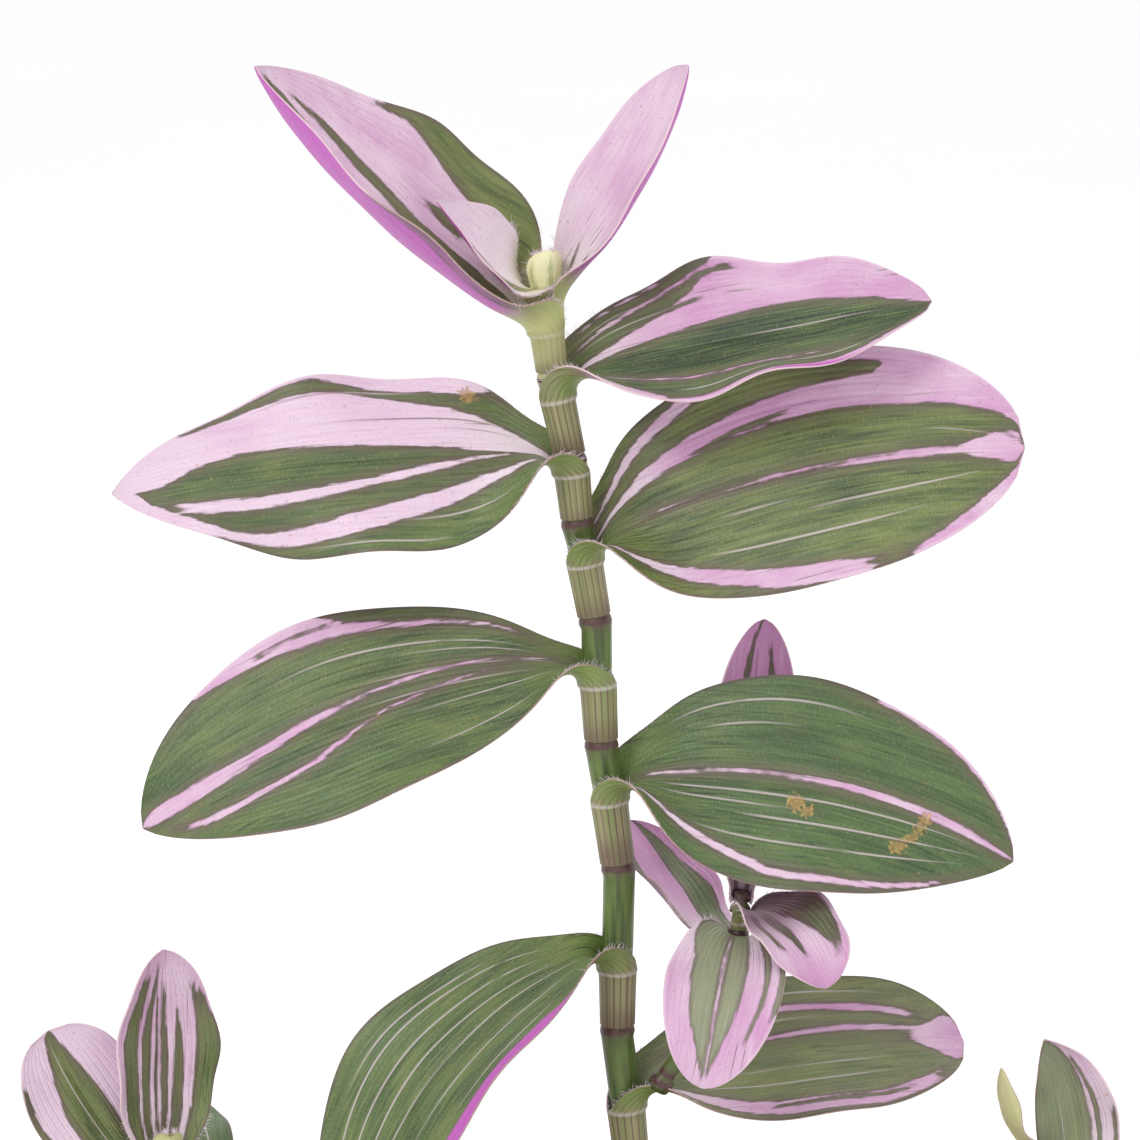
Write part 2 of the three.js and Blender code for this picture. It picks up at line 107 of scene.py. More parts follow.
SHOOTS = {
    "main": {"foot": (5.2, 0), "radius": 2.75, "top_radius": 2, "joints": [
        joint(9.5, 12, 6, 180, leaf(-48, 22, -40, 6, 62, 33, cup=30)),
        joint(9.8, 13, 4, 180, leaf(156, 14, -46, 10, 68, 35)),
        joint(10.6, 14, 6, 180, leaf(15, 3.5, -18, 40, 59, 27, tip=0.5)),
        joint(10.2, 17.7, 0, 180, leaf(208, -14, -78, -14, 70, 31, cup=50, base=0.8)),
        joint(11.2, 9.8, 7.5, 180, leaf(-6, -4, -34, 54, 67, 36, cup=22, tip=0.75)),
        joint(9.9, 10.8, 3, 180, leaf(186, -2, -35, -50, 78, 34, cup=20, base=0.9, tip=0.75)),
        joint(9.4, 6.8, 10, 180, leaf(-4, 15, -27, 66, 72, 38, cup=20, base=0.5, tip=0.5)),
        joint(8, 2.3, 6, 180, leaf(186, 7, -12, -54, 72, 32, cup=-30, ripple=2.4, tip=0.8)),
        joint(9.9, 3.9, 12, 180, leaf(-4, 2, -4, 38, 60, 27, fold=10, ripple=1.8, base=0.45)),
        joint(6.8, 1.6, 7, 180, leaf(190, 40, 26, -30, 61, 38, cup=46, fold=26, base=0.45, tip=0.75,
                                     neck=1.9), crown=True),
        joint(1.4, 1.2, 7, 180, leaf(-4, 45, 20, 34, 44, 19, cup=46, fold=20, ripple=0.3, base=0.6, wrap=140),
              crown=True),
        joint(1.2, 0.8, 7, 180, leaf(220, 50, -4, -52, 25, 17, cup=56, ripple=0.3, base=0.5, tip=1,
                                     wrap=120, neck=1.8), crown=True),
        joint(1, 0.8, 0, 0, leaf(-50, 84, 0, 0, 6, 9, cup=170, ripple=0, wrap=180), crown=True),
    ]},
    "side": {"axil": {"joint": 2, "turn": -28, "out": 7.4, "up": 6}, "radius": 1.7, "top_radius": 1.4,
             "joints": [
        joint(8, 7.5, 30, -8),
        joint(5, 3.8, 24, -8, leaf(132, 8, 10, 0, 34, 18, cup=60, base=0.8)),
        joint(3, 2, 10, -15, leaf(262, -8, -72, 0, 34, 19, cup=40, wrap=180), crown=True),
        joint(2, 2, 4, 0, leaf(-46, 0, -60, 20, 23, 16, cup=60, wrap=180), crown=True),
        joint(2, 1, 4, 0, leaf(86, 60, 0, 0, 46, 15, cup=70, wrap=180), crown=True),
    ]},
    "left": {"foot": (-40, -4), "radius": 2.3, "top_radius": 1.7, "joints": [
        joint(7, 11, 44, 180),
        joint(8, 9.5, 58, 182, leaf(268, 32, -36, -46, 50, 27)),
        joint(8, 5, 32, 184, leaf(92, 30, -40, 26, 46, 25, cup=30)),
        joint(7, 2.4, 10, 184, leaf(172, 62, 14, -56, 34, 20, cup=40, tip=0.4), crown=True),
        joint(2.4, 1.5, 4, 0, leaf(112, 80, 6, 16, 37, 20, cup=50, wrap=180), crown=True),
        joint(1.6, 1.5, 4, 0, leaf(290, 74, 0, 0, 5, 6, cup=120, ripple=0, wrap=180), crown=True),
    ]},
    "right": {"foot": (45, -6), "radius": 2.3, "top_radius": 1.7, "joints": [
        joint(7, 12, 36, 0),
        joint(8, 7, 56, -4, leaf(-86, 34, -36, 44, 46, 25)),
        joint(7, 3.6, 34, -4, leaf(36, 34, -42, -14, 44, 24, cup=30)),
        joint(6, 5, 8, 180, leaf(46, 74, 54, 44, 33, 14, cup=50, tip=0.8, neck=2.4), crown=True),
        joint(2.2, 1.5, 8, 180, leaf(218, 30, 74, -24, 26, 10, cup=60, wrap=140), crown=True),
    ]},
}

# How each leaf is painted. A band is a list of (part of the length, from, to), and from and to run from -1
# at the lower or nearer margin to 1 at the upper or farther one. "pink" bands lie on a green ground. Where
# the ground is pink, "green" bands come first, with "pink" ones over them. "cut" bands are green again.
# A line is (place across, from, to): one vein, pale on green and brown on pink. scars are tan marks at
# (place across, part of the length, size), and curl is a stretch of the lower margin painted in the
# underside's magenta, as if it rolled over, as (from, to, width). olive warms the green, blush strengthens
# the pink, shade darkens the middle, young pales the foot, heart turns it purple, grey dulls the green, cream
# pales the whole leaf, and turned swaps margins.
PAINT = {
    "main_leaf_9": {
        "pink": [[(0.02, 0.1, 0.2), (0.15, 0.16, 0.34), (0.3, 0.24, 0.52), (0.4, 0.28, 0.72),
                  (0.48, 0.32, 1.1), (0.7, 0.36, 1.1), (0.86, 0.3, 1.1), (1, 0.1, 1.1)],
                 [(0.08, 0.62, 0.68), (0.34, 0.76, 0.84), (0.46, 0.86, 0.96)],
                 [(0.1, 0.9, 0.93), (0.3, 0.94, 0.97)],
                 [(0, -1.1, -0.62), (0.14, -1.1, -0.76), (0.3, -1.1, -0.94)],
                 [(0.1, -0.5, -0.46), (0.4, -0.6, -0.56), (0.7, -0.7, -0.66)],
                 [(0.3, -1.1, -0.93), (1, -1.1, -0.9)]],
        "cut": [[(0.16, 0.6, 0.66), (0.5, 0.86, 0.92)], [(0.1, 0.4, 0.45), (0.4, 0.56, 0.61)]],
        "lines": [(0.56, 0.06, 0.36), (0.78, 0.06, 0.34), (-0.78, 0.3, 0.95), (0.0, 0.5, 0.9)],
        "curl": (0.5, 0.82, 0.06), "olive": 0.25, "blush": 0.55, "shade": 0.9,
    },
    "main_leaf_8": {
        "pink": [[(0, 0, 0.2), (0.1, 0.02, 0.42), (0.25, 0.09, 0.58), (0.5, 0.17, 0.79), (0.72, 0.25, 0.84),
                  (0.83, 0.16, 0.9), (0.88, -0.05, 1.1), (1, -0.3, 1.1)],
                 [(0.16, 0.92, 1.1), (0.22, 0.78, 1.1), (0.42, 0.82, 1.1), (0.54, 0.95, 1.1),
                  (0.84, 0.97, 1.1)],
                 [(0.12, 0, 0.03), (0.25, -0.13, -0.06), (0.5, -0.34, -0.24), (0.75, -0.54, -0.38),
                  (0.86, -0.7, -0.5)],
                 [(0.06, -0.25, -0.16), (0.25, -0.55, -0.36), (0.5, -0.8, -0.58), (0.75, -0.96, -0.84),
                  (0.9, -1.1, -0.7)],
                 [(0.78, -1.1, -0.86), (0.92, -1.1, -0.6), (1, -1.1, 0.5)]],
        "lines": [(-0.67, 0.1, 0.4), (-0.89, 0.25, 0.6), (0.78, 0.3, 0.7), (0.44, 0.12, 0.55),
                  (0.33, 0.1, 0.3)],
        "scars": [(0.78, 0.21, 1.5)],
        "olive": 0.35, "blush": 0.17, "shade": 0.25,
    },
    "main_leaf_7": {
        "pink": [[(0.04, 0.6, 0.67), (0.15, 0.7, 0.82), (0.3, 0.82, 0.94), (0.38, 0.92, 1.1)],
                 [(0.03, 0.34, 0.42), (0.2, 0.38, 0.54), (0.4, 0.42, 0.62), (0.6, 0.46, 0.7),
                  (0.7, 0.46, 0.76), (0.75, 0.46, 1.1), (0.9, 0.54, 1.1), (1, 0.75, 1.1)],
                 [(0.5, 0.9, 1.1), (0.75, 0.86, 1.1)],
                 [(0.18, 0.02, 0.04), (0.6, -0.04, 0), (0.86, -0.08, 0.02), (0.94, -0.2, 0.26),
                  (1, -0.5, 0.6)],
                 [(0.04, -0.6, -0.5), (0.2, -0.82, -0.66), (0.4, -0.95, -0.78), (0.56, -1, -0.84),
                  (0.64, -1.1, -0.9)],
                 [(0.74, -1.1, -0.94), (0.88, -1.1, -0.8), (1, -1.1, -0.6)]],
        "cut": [[(0.3, 0.4, 0.44), (0.5, 0.48, 0.52)], [(0.8, 0.26, 0.31), (0.97, 0.28, 0.36)]],
        "lines": [(-0.33, 0.5, 0.95), (-0.56, 0.25, 0.8), (-0.22, 0.3, 0.5), (0.22, 0.78, 0.97)],
        "olive": 0.7, "blush": 0.5, "shade": 0.4,
    },
    "main_leaf_5": {
        "pink": [[(0.1, 0.05, 0.08), (0.4, 0.06, 0.11), (0.7, 0.04, 0.12), (1, -0.05, 0.15)],
                 [(0.03, -0.5, -0.42), (0.2, -0.72, -0.62), (0.4, -0.88, -0.8), (0.85, -0.97, -0.9)],
                 [(0.6, 0.96, 1.1), (1, 0.92, 1.1)]],
        "lines": [(0.78, 0.12, 0.6), (0.56, 0.2, 0.45), (-0.11, 0.1, 0.9), (-0.33, 0.3, 0.95),
                  (-0.56, 0.2, 0.9), (-0.22, 0.1, 0.5)],
        "scars": [(-0.16, 0.45, 1.5), (-0.22, 0.48, 1.2), (-0.42, 0.72, 1.4), (-0.3, 0.745, 1.1),
                  (-0.16, 0.76, 1.1), (0, 0.765, 1.2)],
        "olive": 0.12, "blush": 0.4, "shade": 0.2,
    },
    "main_leaf_6": {
        "pink": [[(0.15, 0.82, 0.86), (0.35, 0.76, 0.82), (0.46, 0.77, 0.88), (0.56, 0.76, 1.1),
                  (0.7, 0.86, 1.1), (0.78, 0.97, 1.1)],
                 [(0.08, 0.28, 0.31), (0.3, 0.2, 0.235), (0.5, 0.08, 0.115), (0.62, 0.0, 0.08),
                  (0.75, -0.12, 0.03), (0.9, -0.2, 0.08), (1, -0.3, 0.4)],
                 [(0.2, 0.1, 0.12), (0.45, -0.12, -0.09), (0.6, -0.37, -0.32), (0.75, -0.5, -0.43),
                  (0.92, -0.74, -0.6)]],
        "cut": [[(0.5, 0.87, 0.91), (0.64, 0.87, 0.9)]],
        "lines": [(0.56, 0.1, 0.65), (0.44, 0.1, 0.4), (-0.22, 0.05, 0.4), (0, 0.1, 0.5), (-0.67, 0.1, 0.4),
                  (0.22, 0.05, 0.5)],
        "olive": 0.35, "blush": 0.45, "shade": 0.3,
    },
    "main_leaf_4": {
        "lines": [(0.67, 0.12, 0.95), (0.44, 0.15, 0.95), (0.22, 0.1, 0.9), (0, 0.05, 0.95),
                  (-0.33, 0.1, 0.9), (0.78, 0.25, 0.7), (-0.67, 0.2, 0.6)],
        "curl": (0.16, 0.97, 0.19), "olive": 0.4, "blush": 0.7, "shade": 0.25,
    },
    "main_leaf_3": {
        "pink": [[(0.15, 0.5, 0.55), (0.5, 0.55, 0.63), (0.85, 0.45, 0.56)],
                 [(0.1, 0.18, 0.22), (0.5, 0.2, 0.27), (0.9, 0.2, 0.3)],
                 [(0.84, 0.02, 0.22), (0.91, -0.2, 0.45), (0.96, -0.6, 0.9), (1, -1.1, 1.1)],
                 [(0.05, -0.75, -0.5), (0.3, -0.9, -0.68), (0.7, -0.95, -0.76), (0.9, -0.95, -0.7)]],
        "cut": [[(0.4, -0.8, -0.76), (0.8, -0.84, -0.78)]],
        "lines": [(0.78, 0.1, 0.8), (0.44, 0.1, 0.6), (-0.22, 0.1, 0.8), (-0.44, 0.2, 0.8)],
        "olive": 0.75, "blush": 0.5, "shade": 0, "grey": 0.15,
    },
    "main_crown_leaf_1": {
        "ground": "pink",
        "green": [[(0.0, 0.45, 0.9), (0.2, 0.55, 1.1), (0.45, 0.72, 1.1), (0.62, 0.88, 1.04), (0.7, 0.92, 1)],
                  [(0.3, 0.3, 0.44), (0.42, 0.36, 0.42)],
                  [(0, 0.04, 0.14), (0.3, 0.1, 0.19), (0.5, 0.15, 0.24), (0.66, 0.21, 0.31), (0.8, 0.3, 0.38),
                   (0.87, 0.34, 0.37)],
                  [(0.66, -0.1, 0.06), (0.8, 0, 0.16), (0.9, 0.04, 0.24), (0.96, 0.1, 0.2)],
                  [(0, -1.1, -0.8), (0.35, -1.1, -0.84), (0.6, -1.1, -0.97)]],
        "olive": 0.75, "blush": 0.3, "shade": 0, "young": 0.8,
    },
    "main_crown_leaf_2": {
        "ground": "pink",
        "green": [[(0, -0.5, -0.3), (0.3, -0.42, -0.36)], [(0, 0.2, 0.4), (0.25, 0.3, 0.36)],
                  [(0, -0.9, -0.7), (0.3, -0.9, -0.8)], [(0, -0.14, 0.02), (0.22, -0.06, 0)]],
        "olive": 0.6, "blush": 0.3, "shade": 0, "young": 1, "grey": 0.2,
    },
    "main_crown_leaf_3": {
        "ground": "pink", "green": [[(0.1, -0.7, -0.45), (0.5, -0.76, -0.6), (0.8, -0.8, -0.74)]],
        "olive": 0.6, "blush": 0.04, "shade": 0, "young": 1,
    },
    "main_crown_leaf_4": {
        "ground": "pink",
        "green": [[(0, -0.9, -0.6), (0.8, -0.8, -0.7)], [(0, -0.3, 0), (0.8, -0.2, -0.1)],
                  [(0, 0.3, 0.5), (0.8, 0.35, 0.45)], [(0, 0.75, 0.95), (0.8, 0.8, 0.9)]],
        "olive": 1, "blush": 0, "shade": 0, "cream": 1, "young": 1,
    },
    # side_leaf_1's pink is its own colour, but its full blush also paints the brighter glow of light shining
    # through this leaf.
    "side_leaf_1": {
        "ground": "pink", "green": [[(0, 0.2, 0.9), (0.5, 0.2, 0.8), (1, 0.2, 0.5)],
                                    [(0, -1.1, -0.7), (1, -1.1, -0.8)]],
        "olive": 0.4, "blush": 1, "shade": 0.1,
    },
    "side_crown_leaf_1": {
        "ground": "pink",
        "green": [[(0.0, -1.1, 0.4), (0.2, -0.95, 0.36), (0.36, -0.62, 0.34), (0.7, -0.5, 0.28),
                   (0.92, -0.2, 0.1)],
                  [(0.05, 0.62, 0.78), (0.5, 0.66, 0.74), (0.75, 0.6, 0.66)],
                  [(0.1, 0.9, 1.1), (0.6, 0.92, 1.1)]],
        "pink": [[(0.2, -0.12, -0.08), (0.5, -0.1, -0.04), (0.96, -0.06, 0.02)]],
        "olive": 0.8, "blush": 0.48, "shade": 0, "grey": 0.5,
    },
    "side_crown_leaf_2": {
        "ground": "pink", "green": [[(0.1, -0.1, 0.9), (0.4, 0.2, 0.95), (0.62, 0.4, 0.9), (0.76, 0.6, 0.8)],
                                    [(0.2, -0.4, -0.1), (0.5, -0.26, 0), (0.72, -0.14, -0.06)],
                                    [(0.3, -0.7, -0.55), (0.62, -0.6, -0.5)]],
        "olive": 0.3, "blush": 0.55, "shade": 0.8, "heart": 1,
    },
    "side_crown_leaf_3": {
        "ground": "pink",
        "green": [[(0, 0.3, 0.55), (1, 0.3, 0.4)], [(0, -0.5, -0.2), (0.9, -0.4, -0.25)]],
        "olive": 0.2, "blush": 0.8, "shade": 0.2, "heart": 0.6,
    },
    "left_crown_leaf_1": {
        "ground": "pink",
        "green": [[(0, -0.5, 0.3), (0.6, -0.45, 0.3), (0.9, -0.25, 0.15), (1, -0.2, 0.1)],
                  [(0, -1.1, -0.85), (0.8, -1.1, -0.9)]],
        "lines": [(-0.11, 0.0, 0.98)],
        "olive": 0.65, "blush": 0.09, "shade": 0.1,
    },
    "left_crown_leaf_2": {
        "ground": "pink",
        "green": [[(0, -1.1, -0.6), (0.5, -1.1, -0.6), (0.8, -0.9, -0.7)],
                  [(0, -0.45, -0.2), (0.5, -0.4, -0.22), (0.72, -0.34, -0.28)],
                  [(0, -0.12, 0), (0.6, -0.1, 0), (0.82, -0.06, -0.02)],
                  [(0, 0.07, 0.15), (0.5, 0.08, 0.14), (0.78, 0.1, 0.12)],
                  [(0, 0.24, 0.44), (0.6, 0.24, 0.42), (0.9, 0.16, 0.24)],
                  [(0, 0.52, 0.84), (0.6, 0.5, 0.84), (0.88, 0.44, 0.7)]],
        "olive": 0.6, "blush": 0.42, "shade": 0.15,
    },
    "left_crown_leaf_3": {
        "ground": "pink", "green": [[(0, -0.5, 0.5), (0.8, -0.3, 0.3)]],
        "olive": 0.5, "blush": 0.1, "shade": 0, "young": 1,
    },
    "right_crown_leaf_1": {
        "ground": "pink",
        "green": [[(0, -1.1, 0.3), (0.7, -1.1, 0.34), (1, -1.1, 0.5)],
                  [(0, 0.42, 0.58), (0.55, 0.44, 0.56), (0.8, 0.48, 0.52)],
                  [(0, 0.84, 0.96), (0.5, 0.86, 0.94)]],
        "lines": [(-0.33, 0.0, 0.7)],
        "olive": 0.7, "blush": 0.3, "shade": 0, "grey": 0.4, "turned": 1,
    },
    "right_crown_leaf_2": {"lines": [(0, 0, 0.9)], "olive": 1, "blush": 0.2, "shade": 0, "young": 1},
}

# The way the leaf blank's length is shared among its sheath, neck and blade, and its rows and columns
SHEATH_SHARE = 0.13
NECK_SHARE = 0.32
NECK_REACH = 1.6
ROWS = 84
COLUMNS = 60
SMALL_LEAF = 30

# The paint's own measures: how slowly a band's ends fade, the depth of plain ground, the number of veins in
# each half of a leaf, the half width and solid part of a line and how fast its ends fade, the solid part of a
# scar, the fade of a curl, and how far apart the leaves' random patterns lie
END_SLOPE = 0.2
GROUND = 6
VEINS = 9
LINE_REACH = 0.055
LINE_SOLID = 1.6
LINE_START_FADE = 12
LINE_END_FADE = 6
SCAR_SOLID = 1.4
CURL_FADE = 10
CURL_EDGE = 0.04
SEED_STEP = 10.0


# ---------------------------------------------------------------------------------------------------------
# Materials


class Value:
    """A number inside a material. Sums and products of values add the Math nodes that work them out."""

    def __init__(self, look, socket):
        self.look = look
        self.socket = socket

    def __add__(self, other):
        return self.look.maths("ADD", self, other)

    __radd__ = __add__

    def __sub__(self, other):
        return self.look.maths("SUBTRACT", self, other)

    def __rsub__(self, other):
        return self.look.maths("SUBTRACT", other, self)

    def __mul__(self, other):
        return self.look.maths("MULTIPLY", self, other)

    __rmul__ = __mul__


class Look:
    """One material, built from its nodes."""

    def __init__(self, name):
        self.material = bpy.data.materials.new(name)
        self.material.use_nodes = True
        self.nodes = self.material.node_tree.nodes
        self.links = self.material.node_tree.links
        self.shader = self.nodes["Principled BSDF"]

    def node(self, kind, settings, inputs):
        """Adds a node: its settings first, then the values or links of its sockets."""
        made = self.nodes.new("ShaderNode" + kind)
        for name, value in settings.items():
            setattr(made, name, value)
        for name, value in inputs.items():
            self.put(made.inputs[name], value)
        return made

    def put(self, socket, value):
        if isinstance(value, Value):
            self.links.new(value.socket, socket)
        elif isinstance(value, bpy.types.NodeSocket):
            self.links.new(value, socket)
        else:
            socket.default_value = value

    def maths(self, operation, *values):
        made = self.node("Math", {"operation": operation}, dict(enumerate(values)))
        return Value(self, made.outputs[0])

    def step(self, value, low, high):
        """0 below low, 1 above high, and smooth between them. low may be the higher of the two."""
        made = self.node("MapRange", {"interpolation_type": "SMOOTHSTEP"},
                         {"Value": value, "From Min": low, "From Max": high})
        return Value(self, made.outputs["Result"])

    def parts(self, vector):
        made = self.node("SeparateXYZ", {}, {"Vector": vector})
        return [Value(self, socket) for socket in made.outputs]

    def attribute(self, name):
        return self.parts(self.node("Attribute", {"attribute_name": name}, {}).outputs["Vector"])

    def vector(self, x, y, z):
        return self.node("CombineXYZ", {}, {"X": x, "Y": y, "Z": z}).outputs["Vector"]

    def place(self):
        return self.node("TexCoord", {}, {}).outputs["Object"]

    def noise(self, vector, scale=1.0, detail=3.0, roughness=0.5):
        made = self.node("TexNoise", {}, {"Vector": vector, "Scale": scale, "Detail": detail,
                                          "Roughness": roughness})
        return Value(self, made.outputs[0])

    def cells(self, vector, scale):
        made = self.node("TexVoronoi", {}, {"Vector": vector, "Scale": scale})
        return Value(self, made.outputs["Distance"])

    def mix(self, factor, first, second):
        return self.node("Mix", {"data_type": "RGBA"}, {0: factor, 6: first, 7: second}).outputs[2]

    def bump(self, height, strength, distance):
        made = self.node("Bump", {}, {"Height": height, "Strength": strength, "Distance": distance})
        return made.outputs["Normal"]

    def finish(self, colour, roughness, normal=None, **fixed):
        """Sets what changes over the surface, then what is the same all over it."""
        self.put(self.shader.inputs["Base Color"], colour)
        self.put(self.shader.inputs["Roughness"], roughness)
        if normal is not None:
            self.put(self.shader.inputs["Normal"], normal)
        for name, value in fixed.items():
            self.shader.inputs[name.replace("_", " ")].default_value = value
        return self.material


def paint(red, green, blue):
    """A colour as it looks on a screen, from 0 to 255, in the renderer's own terms."""
    def linear(part):
        part /= 255
        return part / 12.92 if part <= 0.04045 else ((part + 0.055) / 1.055) ** 2.4
    return (linear(red), linear(green), linear(blue), 1.0)


DEEP_GREEN = paint(56, 78, 44)
MID_GREEN = paint(84, 109, 64)
OLIVE_GREEN = paint(120, 131, 74)
FRESH_GREEN = paint(120, 144, 66)
SHADOW_GREEN = paint(38, 56, 36)
GREY_GREEN = paint(168, 172, 148)
BROWN_GREEN = paint(106, 98, 78)
STRONG_PINK = paint(200, 146, 188)
PALE_PINK = paint(222, 198, 214)
PINK_WHITE = paint(234, 224, 228)
CREAM = paint(232, 230, 184)
CREAM_GREEN = paint(206, 208, 146)
EDGE_MAUVE = paint(98, 78, 80)
MARGIN_BROWN = paint(164, 140, 130)
MARGIN_PINK = paint(214, 186, 192)
LINE_PINK = paint(198, 184, 184)
TAN = paint(166, 130, 76)
STRAW = paint(190, 162, 98)
DRY_BROWN = paint(122, 90, 58)
MAGENTA = paint(186, 88, 178)
DEEP_PURPLE = paint(118, 62, 108)
HEART_PURPLE = paint(92, 40, 70)
SHEATH_GREEN = paint(124, 132, 82)
SHEATH_PALE = paint(158, 150, 114)
SHEATH_VEIN = paint(96, 66, 60)
STEM_GREEN = paint(98, 118, 54)
STEM_DARK = paint(60, 78, 36)
NODE_BROWN = paint(80, 48, 50)
CLAY_ORANGE = paint(186, 104, 72)
CLAY_BROWN = paint(164, 88, 60)
CLAY_PALE = paint(206, 138, 104)
CLAY_SPECK = paint(112, 62, 46)
CLAY_DAMP = paint(140, 76, 54)
LIME_BLOOM = paint(226, 208, 190)
PEAT_DARK = paint(38, 27, 20)
PEAT_BROWN = paint(78, 56, 40)
PEAT_FIBRE = paint(120, 88, 58)
BARK_DARK = paint(58, 38, 26)
BARK_BROWN = paint(122, 84, 54)
PERLITE_WHITE = paint(232, 228, 218)
PERLITE_GREY = paint(186, 178, 164)
FLOOR_WHITE = paint(247, 247, 247)
FLOOR_BRIGHT = paint(250, 250, 250)


def streaks(look, across, along, seed, fineness, stretch, detail=3.0):
    """Noise drawn out along the veins, in millimetres across and along the leaf."""
    return look.noise(look.vector(across * fineness, along * stretch, seed), detail=detail)


def painted_edge(look):
    """How far inside a pink band a point is, in millimetres, made ragged, with its pale line and its scar."""
    across, along, seed = look.attribute("grain")
    into, line, scar = look.attribute("pattern")
    fingers = streaks(look, across, along, seed, 1.5, 0.06) - 0.5
    wobble = streaks(look, across, along, seed + 3, 0.7, 0.5) - 0.5
    return into + fingers * 1.1 + wobble * 0.5, line, scar


def leaf_face():
    look = Look("leaf_face")
    side, _, up_stem = look.attribute("part")
    across, along, seed = look.attribute("grain")
    olive, blush, shade = look.attribute("tint")
    young, heart, grey = look.attribute("foot")
    curl, _, _ = look.attribute("curl")
    edge, line, scar = painted_edge(look)

    # Green: cooler or warmer with the leaf, brighter at its foot, and drawn out in darker and lighter streaks
    broad = streaks(look, across, along, seed + 1, 0.35, 0.05)
    fine = streaks(look, across, along, seed + 2, 2.6, 0.09, 4.0)
    dash = streaks(look, across, along, seed + 8, 1.3, 0.1, 2.0)
    patch = look.noise(look.vector(across * 0.14, along * 0.1, seed + 6))
    cross = look.noise(look.vector(across * 1.1, along * 4.2, seed), detail=2.0)
    veins = look.maths("PINGPONG", side * (2 * VEINS), 0.5) * 2
    warmth = look.step(olive + patch - 0.5, 0, 0.9)
    green = look.mix(warmth, MID_GREEN, OLIVE_GREEN)
    green = look.mix(look.step(broad, 0.42, 0.66) * (0.4 + shade * 0.6), green, DEEP_GREEN)
    middle = look.step(look.maths("ABSOLUTE", side + 0.1), 0.6, 0.05) * shade
    green = look.mix(middle * look.step(fine, 0.3, 0.6), green, SHADOW_GREEN)
    green = look.mix(look.step(up_stem, 13, 2) * 0.55, green, FRESH_GREEN)
    green = look.mix(look.step(fine, 0.46, 0.7) * 0.42, green, SHADOW_GREEN)
    green = look.mix(look.step(dash, 0.6, 0.72) * 0.6, green, SHADOW_GREEN)
    green = look.mix(look.step(fine, 0.5, 0.28) * 0.3, green, OLIVE_GREEN)
    green = look.mix(look.step(cross, 0.5, 0.72) * 0.24, green, SHADOW_GREEN)
    green = look.mix(look.step(cross, 0.44, 0.26) * 0.14, green, CREAM_GREEN)
    green = look.mix(look.step(veins, 0.2, 0) * 0.16, green, SHADOW_GREEN)
    green = look.mix(look.step(edge, -2.4, -0.3) * 0.55, green, BROWN_GREEN)
    green = look.mix(grey, green, GREY_GREEN)

    # Lines keep to the veins, and come and go
    vein = look.maths("PINGPONG", side * VEINS, 0.5)
    comes = look.step(streaks(look, across, along, seed + 9, 0.9, 0.04), 0.24, 0.5)
    pale = look.step(vein, 0.15, 0.04) * line * comes
    green = look.mix(pale * 0.75, green, LINE_PINK)

    # Pink, whiter towards the leaf's foot and where the blush is weak
    cloud = streaks(look, across, along, seed + 5, 0.16, 0.07)
    pink = look.mix(look.step(blush + cloud - 0.5, 0.1, 0.75), PALE_PINK, STRONG_PINK)
    pink = look.mix(look.step(up_stem, 22, 4) * 0.7, pink, PINK_WHITE)
    pink = look.mix(look.step(fine, 0.5, 0.75) * 0.25, pink, STRONG_PINK)
    pink = look.mix(look.step(fine, 0.46, 0.3) * 0.22, pink, PINK_WHITE)
    pink = look.mix(look.step(cross, 0.55, 0.75) * 0.16, pink, EDGE_MAUVE)
    stray = look.step(streaks(look, across, along, seed + 7, 2.1, 0.045), 0.66, 0.7)
    stray *= look.step(edge, 2.6, 0.8)
    pink = look.mix(stray * 0.7, pink, BROWN_GREEN)
    pink = look.mix(pale * 0.7, pink, BROWN_GREEN)

    inside = look.step(edge, -0.1, 0.12)
    rim_line = look.step(edge, -0.75, -0.1) * look.step(edge, 0.3, 0)
    colour = look.mix(inside, green, pink)
    colour = look.mix(rim_line * 0.5, colour, EDGE_MAUVE)
    margin = look.step(look.maths("ABSOLUTE", side), 0.955, 0.985)
    colour = look.mix(margin * 0.6, colour, look.mix(inside, EDGE_MAUVE, PALE_PINK))

    # Dry marks, the pale foot of a young leaf, and the purple heart of a side shoot
    ragged = look.noise(look.vector(across * 1.5, along * 1.5, seed), detail=4.0) - 0.5
    worn = scar + ragged * 2.4
    mark = look.step(worn, 0.3, 0.6)
    dry = look.mix(look.step(ragged, 0.02, 0.12), TAN, STRAW)
    dry = look.mix(look.step(worn, 0.62, 0.42), dry, DRY_BROWN)
    colour = look.mix(mark * (0.35 + patch * 0.6), colour, dry)
    colour = look.mix(curl, colour, MAGENTA)
    colour = look.mix(look.step(up_stem, 9, 0) * young * 0.8, colour, CREAM_GREEN)
    colour = look.mix(look.step(up_stem, 15, 6) * heart * 0.85, colour, HEART_PURPLE)

    # The youngest leaf is cream
    colour = look.mix(look.step(olive, 1.5, 2), colour, CREAM)

    ridges = look.step(veins, 0, 1) * 0.5 + look.step(vein, 0, 0.5) * 0.7 + fine * 0.5 + cross * 0.5
    normal = look.bump(ridges, 0.4, 0.25 * MM)
    roughness = 0.34 + cross * 0.16 + inside * 0.06
    return look.finish(colour, roughness, normal, Specular_IOR_Level=0.45)


